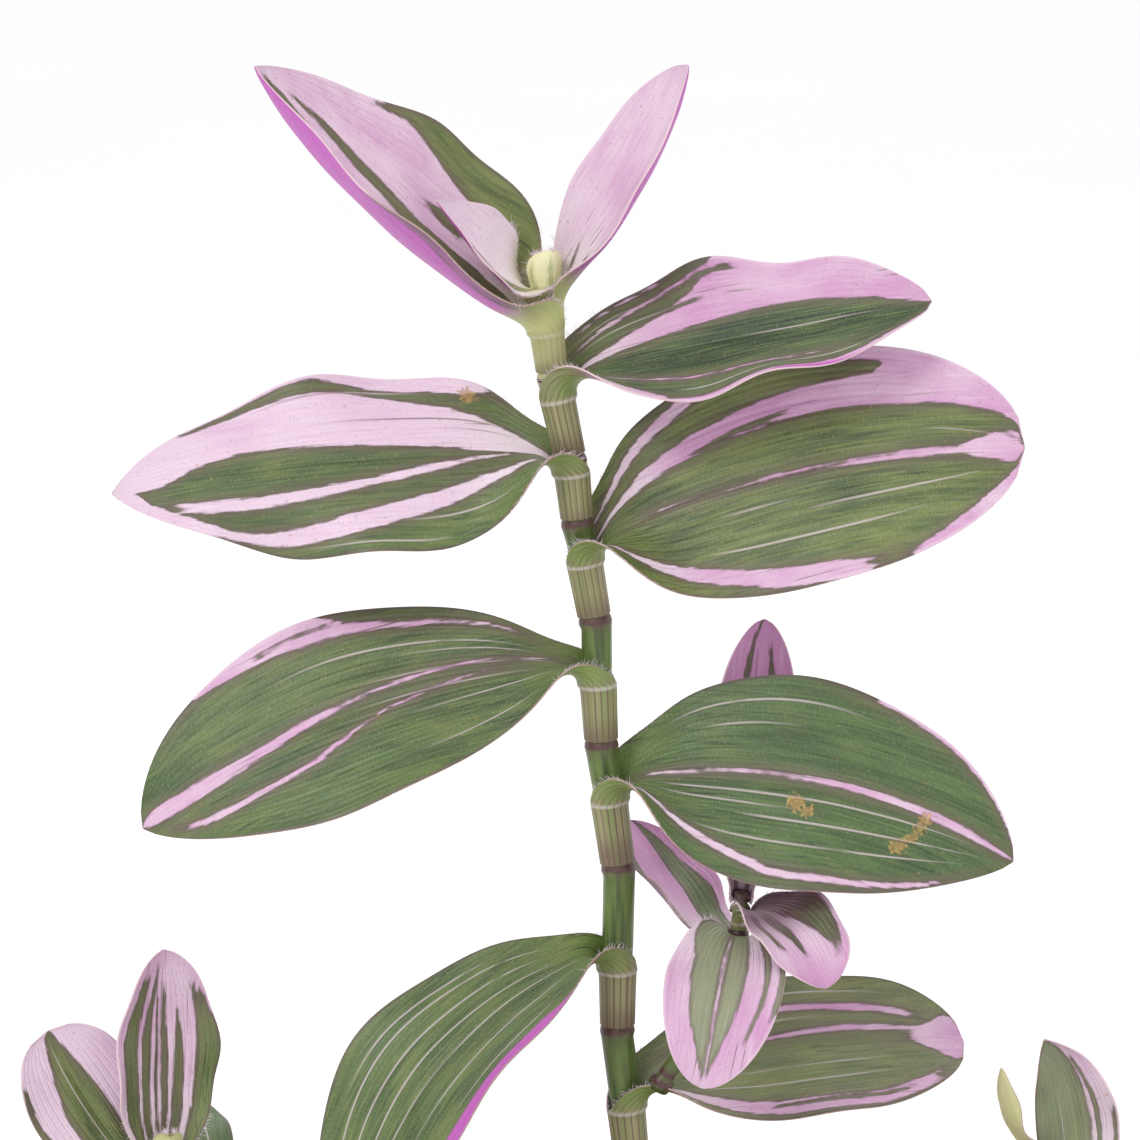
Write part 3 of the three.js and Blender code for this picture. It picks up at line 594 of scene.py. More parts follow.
def leaf_back():
    look = Look("leaf_back")
    side, _, up_stem = look.attribute("part")
    across, along, seed = look.attribute("grain")
    olive, blush, _ = look.attribute("tint")
    young, _, _ = look.attribute("foot")
    edge, _, _ = painted_edge(look)
    fine = streaks(look, across, along, seed + 2, 2.2, 0.08, 4.0)
    cloud = streaks(look, across, along, seed + 4, 0.3, 0.08)

    purple = look.mix(look.step(cloud, 0.2, 0.8), DEEP_PURPLE, MAGENTA)
    back = look.mix(look.step(edge, -0.4, 0.8), look.mix(0.35, purple, MID_GREEN), MAGENTA)
    back = look.mix(look.step(edge, 0.4, 3) * look.step(blush, 0.3, 0.02) * 0.6, back, PALE_PINK)
    back = look.mix(look.step(fine, 0.5, 0.75) * 0.3, back, DEEP_PURPLE)
    back = look.mix(look.step(up_stem, 11, 3) * 0.85, back, FRESH_GREEN)
    back = look.mix(look.step(fine, 0.5, 0.7) * look.step(up_stem, 11, 3) * 0.4, back, SHEATH_VEIN)

    # The sheath: thin, olive, with brown-purple veins that run together towards its foot
    across_vein = side * 8 + fine * 0.5
    vein = look.maths("PINGPONG", across_vein, 0.5)
    sheath = look.mix(look.step(cloud, 0.35, 0.7), SHEATH_GREEN, SHEATH_PALE)
    sheath = look.mix(look.step(fine, 0.48, 0.7) * 0.5, sheath, SHEATH_VEIN)
    sheath = look.mix(look.step(vein, 0.14, 0.03) * 0.8, sheath, SHEATH_VEIN)
    sheath = look.mix(look.step(up_stem, -4, -9) * (0.35 + cloud * 0.5), sheath, SHEATH_VEIN)
    sheath = look.mix(look.step(look.maths("ABSOLUTE", up_stem + 0.1), 0.5, 0.1) * 0.35, sheath, PINK_WHITE)
    sheath = look.mix(young * 0.6 * look.step(up_stem, -6.5, -3), sheath, CREAM_GREEN)
    back = look.mix(young * look.step(up_stem, 10, 0), back, CREAM_GREEN)
    colour = look.mix(look.step(up_stem, 1.6, -0.2), back, sheath)
    colour = look.mix(look.step(olive, 0.9, 1) * young * 0.8, colour, CREAM_GREEN)
    colour = look.mix(look.step(olive, 1.5, 2), colour, CREAM)
    colour = look.mix(look.step(olive, 1.5, 2) * look.step(edge, 0.2, -0.4) * 0.5, colour, FRESH_GREEN)

    normal = look.bump(fine + look.step(vein, 0, 0.3), 0.35, 0.25 * MM)
    return look.finish(colour, 0.38 + fine * 0.2, normal, Specular_IOR_Level=0.45)


def leaf_margin():
    look = Look("leaf_margin")
    across, along, seed = look.attribute("grain")
    edge, _, _ = painted_edge(look)
    nicks = look.noise(look.vector(across, along * 1.4, seed))
    colour = look.mix(look.step(edge, -0.5, 0.5), MARGIN_BROWN, MARGIN_PINK)
    colour = look.mix(look.step(nicks, 0.5, 0.7) * 0.3, colour, PALE_PINK)
    return look.finish(colour, 0.5 + nicks * 0.2)


def stem_skin():
    look = Look("stem_skin")
    side, other, along = look.attribute("grain")
    ring, crown, _ = look.attribute("ring")
    fibres = look.noise(look.vector(side * 1.4, other * 1.4, along * 0.06), detail=4.0)
    cloud = look.noise(look.vector(side * 0.3, other * 0.3, along * 0.12))
    colour = look.mix(look.step(fibres, 0.35, 0.68), STEM_GREEN, STEM_DARK)
    colour = look.mix(look.step(cloud, 0.5, 0.75) * 0.4, colour, FRESH_GREEN)
    colour = look.mix(look.step(ring, -5, -0.5) * 0.35, colour, STEM_DARK)
    belt = look.step(look.maths("ABSOLUTE", ring + fibres * 0.6 - 0.3), 0.8, 0.25)
    colour = look.mix(look.step(ring, -3, 0) * 0.35, colour, SHEATH_VEIN)
    colour = look.mix(belt * 0.9, colour, NODE_BROWN)
    colour = look.mix(look.step(fibres, 0.6, 0.72) * 0.35, colour, SHEATH_VEIN)
    colour = look.mix(crown * 0.7, colour, CREAM_GREEN)
    normal = look.bump(fibres, 0.35, 0.3 * MM)
    return look.finish(colour, 0.26 + cloud * 0.2, normal, Specular_IOR_Level=0.5)


def fine_hair():
    look = Look("fine_hair")
    shade = look.noise(look.place(), scale=900)
    return look.finish(look.mix(shade, PINK_WHITE, PALE_PINK), 0.5 + shade * 0.2)


def fired_clay():
    look = Look("fired_clay")
    place = look.place()
    x, y, z = look.parts(place)
    broad = look.noise(place, scale=22, detail=4)
    grain = look.noise(place, scale=900, detail=2)
    speck = look.cells(place, 420)
    turning = look.noise(look.vector(x * 30, y * 30, z * 1100), detail=2)
    colour = look.mix(look.step(broad, 0.35, 0.7), CLAY_ORANGE, CLAY_BROWN)
    colour = look.mix(look.step(grain, 0.5, 0.8) * 0.35, colour, CLAY_PALE)
    colour = look.mix(look.step(speck, 0.16, 0.05) * 0.45, colour, CLAY_SPECK)
    bloom = look.noise(look.vector(x * 40, y * 40, z * 22), detail=6, roughness=0.65)
    low = look.step(z, 34 * MM, 4 * MM)
    high = look.step(z, 76 * MM, 82 * MM) * 0.6
    colour = look.mix(look.step(bloom, 0.52, 0.7) * (low + high) * 0.5, colour, LIME_BLOOM)
    damp = look.step(z + broad * 0.012, 62 * MM, 40 * MM) * 0.35
    colour = look.mix(damp, colour, CLAY_DAMP)
    normal = look.bump(grain + turning * 0.8 - look.step(speck, 0.16, 0.05), 0.4, 0.4 * MM)
    return look.finish(colour, 0.78 + grain * 0.15, normal, Specular_IOR_Level=0.3)


def potting_mix():
    look = Look("potting_mix")
    place = look.place()
    lump = look.noise(place, scale=130, detail=6, roughness=0.7)
    fleck = look.cells(place, 700)
    colour = look.mix(look.step(lump, 0.35, 0.7), PEAT_DARK, PEAT_BROWN)
    colour = look.mix(look.step(fleck, 0.18, 0.08) * 0.5, colour, PEAT_FIBRE)
    normal = look.bump(lump + fleck, 0.8, 1.5 * MM)
    return look.finish(colour, 0.85 + lump * 0.12, normal, Specular_IOR_Level=0.2)


def bark_chip():
    look = Look("bark_chip")
    place = look.place()
    grain = look.noise(place, scale=420, detail=5)
    colour = look.mix(look.step(grain, 0.3, 0.7), BARK_DARK, BARK_BROWN)
    return look.finish(colour, 0.8 + grain * 0.15, look.bump(grain, 0.6, 0.8 * MM))


def perlite():
    look = Look("perlite")
    pores = look.noise(look.place(), scale=1100, detail=3)
    colour = look.mix(look.step(pores, 0.4, 0.7), PERLITE_WHITE, PERLITE_GREY)
    return look.finish(colour, 0.85 + pores * 0.1, look.bump(pores, 0.6, 0.5 * MM))


# ---------------------------------------------------------------------------------------------------------
# Modelling


def start_piece(name):
    """Names the primitive that was just added."""
    piece = bpy.context.active_object
    piece.name = name
    piece.data.name = name
    return piece


def deselect():
    bpy.ops.object.select_all(action="DESELECT")


def only(piece):
    deselect()
    piece.select_set(True)
    bpy.context.view_layer.objects.active = piece


def edit_all():
    """Edit mode, with everything selected."""
    bpy.ops.object.mode_set(mode="EDIT")
    bpy.ops.mesh.select_all(action="SELECT")


def face_out():
    """Turns every face outwards and leaves edit mode."""
    bpy.ops.mesh.select_all(action="SELECT")
    bpy.ops.mesh.normals_make_consistent(inside=False)
    bpy.ops.object.mode_set(mode="OBJECT")


def apply_modifier(piece, kind, **settings):
    only(piece)
    modifier = piece.modifiers.new(kind.lower(), kind)
    for name, value in settings.items():
        setattr(modifier, name, value)
    bpy.ops.object.modifier_apply(modifier=modifier.name)


def smooth(piece, angle):
    only(piece)
    bpy.ops.object.shade_smooth_by_angle(angle=math.radians(angle))


def places(piece):
    flat = np.empty(len(piece.data.vertices) * 3)
    piece.data.vertices.foreach_get("co", flat)
    return flat.reshape(-1, 3)


def move_to(piece, points):
    piece.data.vertices.foreach_set("co", np.asarray(points, float).ravel())
    piece.data.update()


def write_attribute(piece, name, rows):
    made = piece.data.attributes.new(name, "FLOAT_VECTOR", "POINT")
    made.data.foreach_set("vector", np.asarray(rows, np.float32).ravel())


def settle(piece, slot, *nodes):
    """A finished piece rides with the plant and stands for its CAD nodes."""
    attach(piece, "root")
    if nodes:
        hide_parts(*nodes)


# ---------------------------------------------------------------------------------------------------------
# Leaves


def unit(vector):
    return vector / np.linalg.norm(vector)


def lean_direction(lean, toward):
    lean, toward = math.radians(lean), math.radians(toward)
    return np.array([math.sin(lean) * math.cos(toward), math.sin(lean) * math.sin(toward), math.cos(lean)])


def plan_direction(turn):
    return np.array([math.cos(math.radians(turn)), math.sin(math.radians(turn)), 0.0])


def walk_shoot(shoot, start):
    """Each joint with its node, the collar where its blade leaves, its end, its axis and its radius."""
    walked = []
    at = np.array(start, float)
    last = max(1, len(shoot["joints"]) - 1)
    for i, step in enumerate(shoot["joints"]):
        axis = lean_direction(step["lean"], step["toward"])
        collar = at + axis * step["sheath"]
        end = collar + axis * step["bare"]
        radius = shoot["radius"] + (shoot["top_radius"] - shoot["radius"]) * i / last
        walked.append({**step, "node": at, "collar": collar, "end": end, "axis": axis, "radius": radius})
        at = end
    return walked


def midrib(blade, radius, distances):
    """Points along the midrib, and the frame there, at distances from the collar. X is out, Z is up."""
    steps = 600
    fine = np.linspace(0, blade["length"], steps + 1)
    middle = (fine[1:] + fine[:-1]) / 2

    def rise_at(s):
        settled = np.exp(-((s / blade["neck"]) ** 1.5))
        bend = blade["bend"] * (s / blade["length"]) ** 1.4
        return np.radians(blade["rise"] + (UP - blade["rise"]) * settled + bend)

    width = blade["length"] / steps
    out = np.concatenate([[0], np.cumsum(np.cos(rise_at(middle)) * width)])
    lift = np.concatenate([[0], np.cumsum(np.sin(rise_at(middle)) * width)])
    reach = np.maximum(distances, 0)
    zero = np.zeros_like(reach)
    at = np.stack([radius + np.interp(reach, fine, out), zero,
                   np.interp(reach, fine, lift) + np.minimum(distances, 0)], -1)
    rise = rise_at(reach)
    roll = np.radians(blade["roll"]) * (1 - np.exp(-((reach / (2.5 * blade["neck"])) ** 2)))
    side = np.stack([zero, zero + 1, zero], -1)
    face = np.stack([-np.sin(rise), zero, np.cos(rise)], -1)
    cos, sin = np.cos(roll)[:, None], np.sin(roll)[:, None]
    return at, side * cos + face * sin, face * cos - side * sin


def widths(blade, radius, distances):
    """The leaf's width at distances from the collar."""
    around = math.radians(blade["wrap"]) * radius
    part = np.clip(distances / blade["length"], 0, 1)
    widest = blade["base"] / (blade["base"] + blade["tip"])
    outline = part ** blade["base"] * (1 - part) ** blade["tip"]
    outline /= widest ** blade["base"] * (1 - widest) ** blade["tip"]
    left = np.exp(-np.maximum(distances, 0) / blade["neck"])
    return np.maximum(0.3, blade["width"] * outline * (1 - left) + around * left)


def leaf_points(blade, radius, distances, sides):
    """The upper face of a leaf, a row of points for each distance across the leaf, and its half widths."""
    at, side, face = midrib(blade, radius, distances)
    width = widths(blade, radius, distances)[:, None]
    reach = np.maximum(distances, 0)[:, None]
    part = np.minimum(reach / blade["length"], 1)
    opened = 1 - np.exp(-reach / blade["neck"])
    turn = np.radians(blade["wrap"] + (blade["cup"] - blade["wrap"]) * opened)
    steps = 60
    middle = (np.arange(steps)[None, :] + 0.5) / steps
    folded = math.radians(blade["fold"]) * opened * np.tanh(middle * width / FOLD_SPREAD)
    angle = turn / 2 * middle + folded
    zero = np.zeros_like(width)
    across = np.concatenate([zero, np.cumsum(np.cos(angle) * width / 2 / steps, 1)], 1)
    lift = np.concatenate([zero, np.cumsum(np.sin(angle) * width / 2 / steps, 1)], 1)
    marks = np.linspace(0, 1, steps + 1)
    away = np.abs(sides)
    across = np.stack([np.interp(away, marks, row) for row in across]) * np.sign(sides)
    lift = np.stack([np.interp(away, marks, row) for row in lift])
    wave = np.sin(2 * math.pi * blade["waves"] * part + np.sign(sides)) * np.sin(math.pi * part)
    lift += blade["ripple"] * opened * away ** 2.5 * wave
    # A shallow channel along the midrib, and the faint swell and dip of a fleshy blade
    groove = np.exp(-((sides * width / 2 / GROOVE_WIDTH) ** 2))
    swell = np.sin(part * 17 + sides * 5) * np.sin(sides * 7 - part * 6) * (1 - away ** 2)
    lift += opened * np.sin(math.pi * part) * (SWELL_HEIGHT * swell - GROOVE_DEPTH * groove)
    points = at[:, None, :] + side[:, None, :] * across[..., None] + face[:, None, :] * lift[..., None]
    return points, width / 2


def band_depth(knots, side, part, half_width, length):
    """How far inside a band each point is, in millimetres. A band's own ends fray more than its sides."""
    along = [k[0] for k in knots]
    low = np.interp(part, along, [k[1] for k in knots])
    high = np.interp(part, along, [k[2] for k in knots])
    depth = np.minimum((side - low) * half_width, (high - side) * half_width)
    if along[0] > 0:
        depth = np.minimum(depth, (part - along[0]) * length * END_SLOPE)
    if along[-1] < 1:
        depth = np.minimum(depth, (along[-1] - part) * length * END_SLOPE)
    return depth


def random_paint(name):
    """Paint for a leaf that stands lower down: mostly green, with a few lines and one or two bands."""
    draw = random.Random(name)
    bands = []
    for _ in range(draw.choice([1, 2, 2])):
        low = draw.uniform(-0.85, 0.7)
        wide = draw.uniform(0.06, 0.22)
        start = draw.uniform(0.02, 0.3)
        end = low * 0.6
        bands.append([(start, low, low + wide * 0.5), (0.6, low, low + wide), (1, end, end + wide)])
    lines = [(vein / VEINS, draw.uniform(0.02, 0.3), draw.uniform(0.6, 0.97))
             for vein in draw.sample(range(2 - VEINS, VEINS - 1), 5)]
    return {"pink": bands, "lines": lines, "olive": draw.uniform(0.1, 0.5), "blush": draw.uniform(0.4, 0.8),
            "shade": draw.uniform(0.05, 0.25)}


def leaf_pattern(coat, side, part, half_width, length):
    """Depth into pink, strength of the lines, and the scars, at each point."""
    depth = np.full(side.shape, GROUND if coat.get("ground") == "pink" else -GROUND, float)
    for knots in coat.get("green", []):
        depth = np.minimum(depth, -band_depth(knots, side, part, half_width, length))
    for knots in coat.get("pink", []):
        depth = np.maximum(depth, band_depth(knots, side, part, half_width, length))
    for knots in coat.get("cut", []):
        depth = np.minimum(depth, -band_depth(knots, side, part, half_width, length))
    line = np.zeros(side.shape)
    for at, start, end in coat.get("lines", []):
        near = np.clip(LINE_SOLID - np.abs(side - at) / LINE_REACH, 0, 1)
        ends = np.clip((part - start) * LINE_START_FADE, 0, 1) * np.clip((end - part) * LINE_END_FADE, 0, 1)
        line = np.maximum(line, near * ends)
    scar = np.zeros(side.shape)
    for at, where, size in coat.get("scars", []):
        gap = np.hypot((side - at) * half_width, (part - where) * length)
        scar = np.maximum(scar, np.clip(SCAR_SOLID - gap / size, 0, 1))
    return depth, line, scar


def make_leaf(name, number, step, looks):
    """Rolls a flat grid round the stem, draws it out along the midrib, marks it for paint and thickens it."""
    blade = step["leaf"]
    small = blade["length"] < SMALL_LEAF
    rows = ROWS * 2 // 3 if small else ROWS
    columns = COLUMNS * 2 // 3 if small else COLUMNS
    deselect()
    bpy.ops.mesh.primitive_grid_add(x_subdivisions=rows, y_subdivisions=columns, size=2)
    piece = start_piece(name + "_blade")
    blank = places(piece)
    share = np.round((blank[:, 0] + 1) / 2, 6)
    across = np.round(blank[:, 1], 6)
    shares, row = np.unique(share, return_inverse=True)
    sides, column = np.unique(across, return_inverse=True)
    neck = NECK_REACH * blade["neck"]
    distances = np.interp(shares, [0, SHEATH_SHARE, NECK_SHARE, 1],
                          [SHEATH_FOOT - step["sheath"], 0, neck, blade["length"]])
    radius = step["radius"] - CORE_INSET + SHEATH_CLEARANCE
    grid, half_width = leaf_points(blade, radius, distances, sides)

    # The sheath narrows onto the stem below its rim
    snug = np.clip(-distances / step["sheath"], 0, 1) ** 0.7 * SHEATH_SNUG
    ring = grid[:, :, :2] / radius
    grid[:, :, :2] -= np.where(distances[:, None, None] < 0, ring * snug[:, None, None], 0)

    out = plan_direction(blade["turn"])
    out = unit(out - step["axis"] * (out @ step["axis"]))
    far = np.cross(step["axis"], out)
    basis = np.stack([out, far, step["axis"]])
    move_to(piece, ((grid @ basis + step["collar"]) * MM)[row, column])

    # A leaf to the left is painted from its other margin, so that the upper margin is always 1
    coat = PAINT.get(name) or random_paint(name)
    facing = -1 if (out[0] < -0.5) != bool(coat.get("turned")) else 1
    side = facing * sides[None, :] + 0 * distances[:, None]
    part = np.clip(distances / blade["length"], 0, 1)[:, None] + 0 * side
    depth, line, scar = leaf_pattern(coat, side, part, half_width, blade["length"])
    up_stem = distances[:, None] + 0 * side
    olive = coat["olive"] + 2 * coat.get("cream", 0)

    def fill(*layers):
        return np.stack([(layer + 0 * side)[row, column] for layer in layers], -1)

    write_attribute(piece, "part", fill(side, part, up_stem))
    write_attribute(piece, "grain", fill(side * half_width, part * blade["length"], number * SEED_STEP))
    write_attribute(piece, "pattern", fill(depth, line, scar))
    write_attribute(piece, "tint", fill(olive, coat["blush"], coat["shade"]))
    write_attribute(piece, "foot", fill(coat.get("young", 0), coat.get("heart", 0), coat.get("grey", 0)))

    # A margin that curls over shows a strip of the underside's magenta
    start, end, wide = coat.get("curl", (0, 1, 0))
    wide = wide * np.clip((part - start) * CURL_FADE, 0, 1) * np.clip((end - part) * CURL_FADE, 0, 1)
    curl = np.clip((wide - 1 - side) / CURL_EDGE + 0.5, 0, 1) * (wide > 0)
    write_attribute(piece, "curl", fill(curl, 0, 0))

    # Thin in the sheath and at the margins, fleshy along the midrib
    flesh = piece.vertex_groups.new(name="flesh")
    thick = np.where(distances[:, None] < 0, 0.45, 1 - 0.6 * np.abs(side) ** 3)
    thick *= np.interp(part, [0, 0.85, 1], [1, 1, 0.4])
    for weight in np.unique(np.round(thick, 2)):
        chosen = np.flatnonzero(np.round(thick, 2)[row, column] == weight)
        flesh.add(chosen.tolist(), float(weight), "REPLACE")
    for look in looks:
        piece.data.materials.append(look)
    apply_modifier(piece, "SOLIDIFY", thickness=LEAF_THICKNESS * MM, offset=-1, vertex_group="flesh",
                   thickness_vertex_group=0.0, use_even_offset=False, material_offset=1,
                   material_offset_rim=2)
    piece.vertex_groups.clear()
    smooth(piece, 70)
    settle(piece, "young_leaf" if step["crown"] else "leaf", name)
    return grid @ basis + step["collar"], distances


# ---------------------------------------------------------------------------------------------------------
# Stems and hairs


def make_stem(node, shoot, joints, look):
    """A round bar through the joints, swollen at each node and slimmer inside each sheath."""
    name = node + "_skin"
    rings = []
    if "foot" in shoot:
        first = joints[0]["node"]
        rings.append((first - [0, 0, PLANTED_DEPTH], shoot["radius"]))
        rings.append((first - [0, 0, 4], shoot["radius"]))
    for step in joints:
        axis, radius = step["axis"], step["radius"]
        for along, share in NODE_RINGS:
            rings.append((step["node"] + axis * along, radius + NODE_SWELL * share))
        rings.append((step["node"] + axis * CORE_START, radius - CORE_INSET))
        for along, share in COLLAR_RINGS if step["bare"] > LONG_BARE else COLLAR_RINGS[:1]:
            rings.append((step["collar"] + axis * along, radius - CORE_INSET * share))
    rings.append((joints[-1]["end"], joints[-1]["radius"] * 0.5))

    curve = bpy.data.curves.new(name, "CURVE")
    curve.dimensions = "3D"
    curve.bevel_depth = MM
    curve.bevel_resolution = 7
    curve.use_fill_caps = True
    line = curve.splines.new("POLY")
    line.points.add(len(rings) - 1)
    for point, (at, radius) in zip(line.points, rings):
        point.co = (*(at * MM), 1)
        point.radius = radius
    piece = bpy.data.objects.new(name, curve)
    bpy.context.scene.collection.objects.link(piece)
    only(piece)
    bpy.ops.object.convert(target="MESH")
    piece = start_piece(name)
    edit_all()
    bpy.ops.mesh.remove_doubles(threshold=0.01 * MM)
    face_out()

    # Each point takes its grain, and its distance from a node, from the joint it is nearest
    points = places(piece) / MM
    nearest = np.full(len(points), np.inf)
    grain = np.zeros((len(points), 3))
    ring = np.zeros((len(points), 3))
    walked = 0
    for step in joints:
        away = points - step["node"]
        along = away @ step["axis"]
        span = step["sheath"] + step["bare"]
        outside = np.maximum(-along, 0) + np.maximum(along - span, 0)
        radial = np.linalg.norm(away - along[:, None] * step["axis"], axis=1)
        cost = outside + radial
        closer = cost < nearest
        nearest[closer] = cost[closer]
        side = unit(np.cross(step["axis"], [0, 1, 0.01]))
        other = np.cross(step["axis"], side)
        grain[closer] = np.stack([away @ side, away @ other, along + walked], -1)[closer]
        to_node = np.where(along < span / 2, along, along - span)
        ring[closer, 0] = to_node[closer]
        ring[closer, 1] = step["crown"] and name.startswith("main")
        walked += span
    write_attribute(piece, "grain", grain)
    write_attribute(piece, "ring", ring)
    piece.data.materials.append(look)
    smooth(piece, 80)
    settle(piece, "stem", node)


def scatter(name, template, turns, spots, look, slot):
    """Copies a small shape to many spots, each with its own turn and size, as one piece."""
    shape = places(template)
    faces = [list(face.vertices) for face in template.data.polygons]
    points = [shape @ turn.T + spot for turn, spot in zip(turns, spots)]
    count = len(shape)
    copied = [[v + k * count for v in face] for k in range(len(points)) for face in faces]
    mesh = bpy.data.meshes.new(name)
    mesh.from_pydata(np.concatenate(points).tolist(), [], copied)
    mesh.update()
    piece = bpy.data.objects.new(name, mesh)
    bpy.context.scene.collection.objects.link(piece)
    mesh.materials.append(look)
    settle(piece, slot)
    bpy.data.objects.remove(template)  # only the copies stay


def frame_along(direction, length, width):
    """A turn and stretch that lays a shape's Z along a direction."""
    z = unit(direction)
    x = unit(np.cross(z, [0.31, 0.17, 0.94]))
    y = np.cross(z, x)
    return np.stack([x * width, y * width, z * length], -1)


def make_hairs(name, leaves, look):
    """Fine white hairs along the rim of each sheath and the foot of each blade."""
    draw = random.Random(name)
    deselect()
    bpy.ops.mesh.primitive_cone_add(vertices=4, radius1=1, radius2=0.15, depth=1)
    template = start_piece("hair")
    move_to(template, places(template) + [0, 0, 0.5])
    turns = []
    spots = []
    for grid, distances in leaves:
        for column, inner in ((0, 2), (-1, -3)):
            for row in range(1, len(distances) - 1):
                if not HAIR_ZONE[0] < distances[row] < HAIR_ZONE[1]:
                    continue
                for _ in range(HAIRS_AT_ROW):
                    share = draw.random()
                    at = grid[row, column] * share + grid[row + 1, column] * (1 - share)
                    outward = unit(grid[row, column] - grid[row, inner])
                    loose = np.array([draw.gauss(0, 0.45) for _ in range(3)])
                    length = draw.uniform(*HAIR_LENGTH)
                    turns.append(frame_along(outward + loose, length * MM, HAIR_WIDTH * MM))
                    spots.append(at * MM)
    scatter(name, template, turns, spots, look, "young_leaf")


# ---------------------------------------------------------------------------------------------------------
# Pot and soil


def inner_radius(height):
    band_foot = POT_HEIGHT - RIM_HEIGHT
    slope = (RIM_RADIUS - RIM_STEP - FOOT_RADIUS) / band_foot
    return FOOT_RADIUS + slope * min(height, band_foot) - POT_WALL


def draw_up(profile):
    """Extrudes the selected cap through a list of (radius, height), from its present radius and height."""
    (radius, height), *rest = profile
    for next_radius, next_height in rest:
        bpy.ops.mesh.extrude_region_move(
            TRANSFORM_OT_translate={"value": (0, 0, (next_height - height) * MM)})
        bpy.ops.transform.resize(value=(next_radius / radius, next_radius / radius, 1))
        radius, height = next_radius, next_height


def make_pot(look):
    band_foot = POT_HEIGHT - RIM_HEIGHT
    neck = RIM_RADIUS - RIM_STEP
    lip_inside = RIM_RADIUS - POT_WALL
    corner = POT_FLOOR + FLOOR_CORNER_RISE
    profile = [
        (FOOT_RADIUS - POT_CHAMFER, 0), (FOOT_RADIUS, POT_CHAMFER), (neck - 1, band_foot - 1),
        (RIM_RADIUS - POT_CHAMFER, band_foot), (RIM_RADIUS - 1, band_foot + POT_CHAMFER),
        (RIM_RADIUS, POT_HEIGHT - POT_CHAMFER), (RIM_RADIUS - POT_CHAMFER, POT_HEIGHT),
        (lip_inside, POT_HEIGHT), (lip_inside - LIP_CHAMFER, POT_HEIGHT - LIP_CHAMFER),
        (inner_radius(POT_HEIGHT), band_foot), (inner_radius(corner), corner),
        (inner_radius(POT_FLOOR) - FLOOR_CORNER, POT_FLOOR), (1, POT_FLOOR),
    ]
    deselect()
    bpy.ops.mesh.primitive_circle_add(vertices=128, radius=profile[0][0] * MM, fill_type="NGON")
    piece = start_piece("clay_pot")
    edit_all()
    draw_up(profile)
    face_out()
    for k in range(DRAIN_COUNT):
        angle = (k + 0.5) / DRAIN_COUNT * 2 * math.pi
        at = (DRAIN_RING_RADIUS * MM * math.cos(angle), DRAIN_RING_RADIUS * MM * math.sin(angle), 0.003)
        deselect()
        bpy.ops.mesh.primitive_cylinder_add(vertices=32, radius=DRAIN_RADIUS * MM, depth=0.02, location=at)
        cutter = bpy.context.active_object
        apply_modifier(piece, "BOOLEAN", object=cutter, operation="DIFFERENCE", solver="EXACT")
        bpy.data.objects.remove(cutter)
    apply_modifier(piece, "BEVEL", width=0.9 * MM, segments=3, limit_method="ANGLE",
                   angle_limit=math.radians(18))
    piece.data.materials.clear()
    piece.data.materials.append(look)
    smooth(piece, 40)
    settle(piece, "clay", "pot")


def soil_height(x, y):
    """The top of the soil at a place, in millimetres: a low dome with crumbs and hollows."""
    away = math.hypot(x, y) / inner_radius(SOIL_LEVEL)
    lumps = math.sin(x * 0.21 + 1.3) * math.sin(y * 0.17) + math.sin(x * 0.53 + y * 0.39) * 0.6
    return SOIL_LEVEL - SOIL_DOME * away ** 2 + lumps * 0.5


def make_soil(look):
    rings = 26
    radius = inner_radius(SOIL_LEVEL) - SOIL_GAP
    foot = inner_radius(POT_FLOOR) - (FLOOR_CORNER + SOIL_GAP)
    corner = POT_FLOOR + FLOOR_CORNER_RISE
    deselect()
    bpy.ops.mesh.primitive_circle_add(vertices=96, radius=foot * MM, fill_type="NGON",
                                      location=(0, 0, (POT_FLOOR + SOIL_LIFT) * MM))
    piece = start_piece("potting_mix_bed")
    bpy.ops.object.transform_apply()
    edit_all()
    draw_up([(foot, POT_FLOOR + SOIL_LIFT), (inner_radius(corner) - SOIL_GAP, corner + SOIL_LIFT),
             (radius, POT_HEIGHT - RIM_HEIGHT)]
            + [(radius * (1 - k / rings), SOIL_LEVEL - SOIL_DOME) for k in range(rings)])
    face_out()
    draw = random.Random("soil")
    points = places(piece)
    for point in points:
        if point[2] > (SOIL_LEVEL - SOIL_DOME - 0.1) * MM:
            x, y = point[0] / MM, point[1] / MM
            point[2] = (soil_height(x, y) + draw.gauss(0, SOIL_GRAIN)) * MM
    move_to(piece, points)
    piece.data.materials.append(look)
    smooth(piece, 35)
    settle(piece, "soil", "potting_soil")


def crumb_shape(kind):
    """A small rough lump, or a flat chip, about one unit across."""
    deselect()
    if kind == "chip":
        bpy.ops.mesh.primitive_cube_add(size=1)
        piece = start_piece(kind)
        edit_all()
        bpy.ops.mesh.bevel(offset=0.12, segments=1)
        bpy.ops.transform.resize(value=(1, 0.55, 0.28))
    else:
        bpy.ops.mesh.primitive_ico_sphere_add(subdivisions=1, radius=0.5)
        piece = start_piece(kind)
        edit_all()
        bpy.ops.mesh.subdivide(number_cuts=1, fractal=0.6, seed=3)
    bpy.ops.object.mode_set(mode="OBJECT")
    return piece


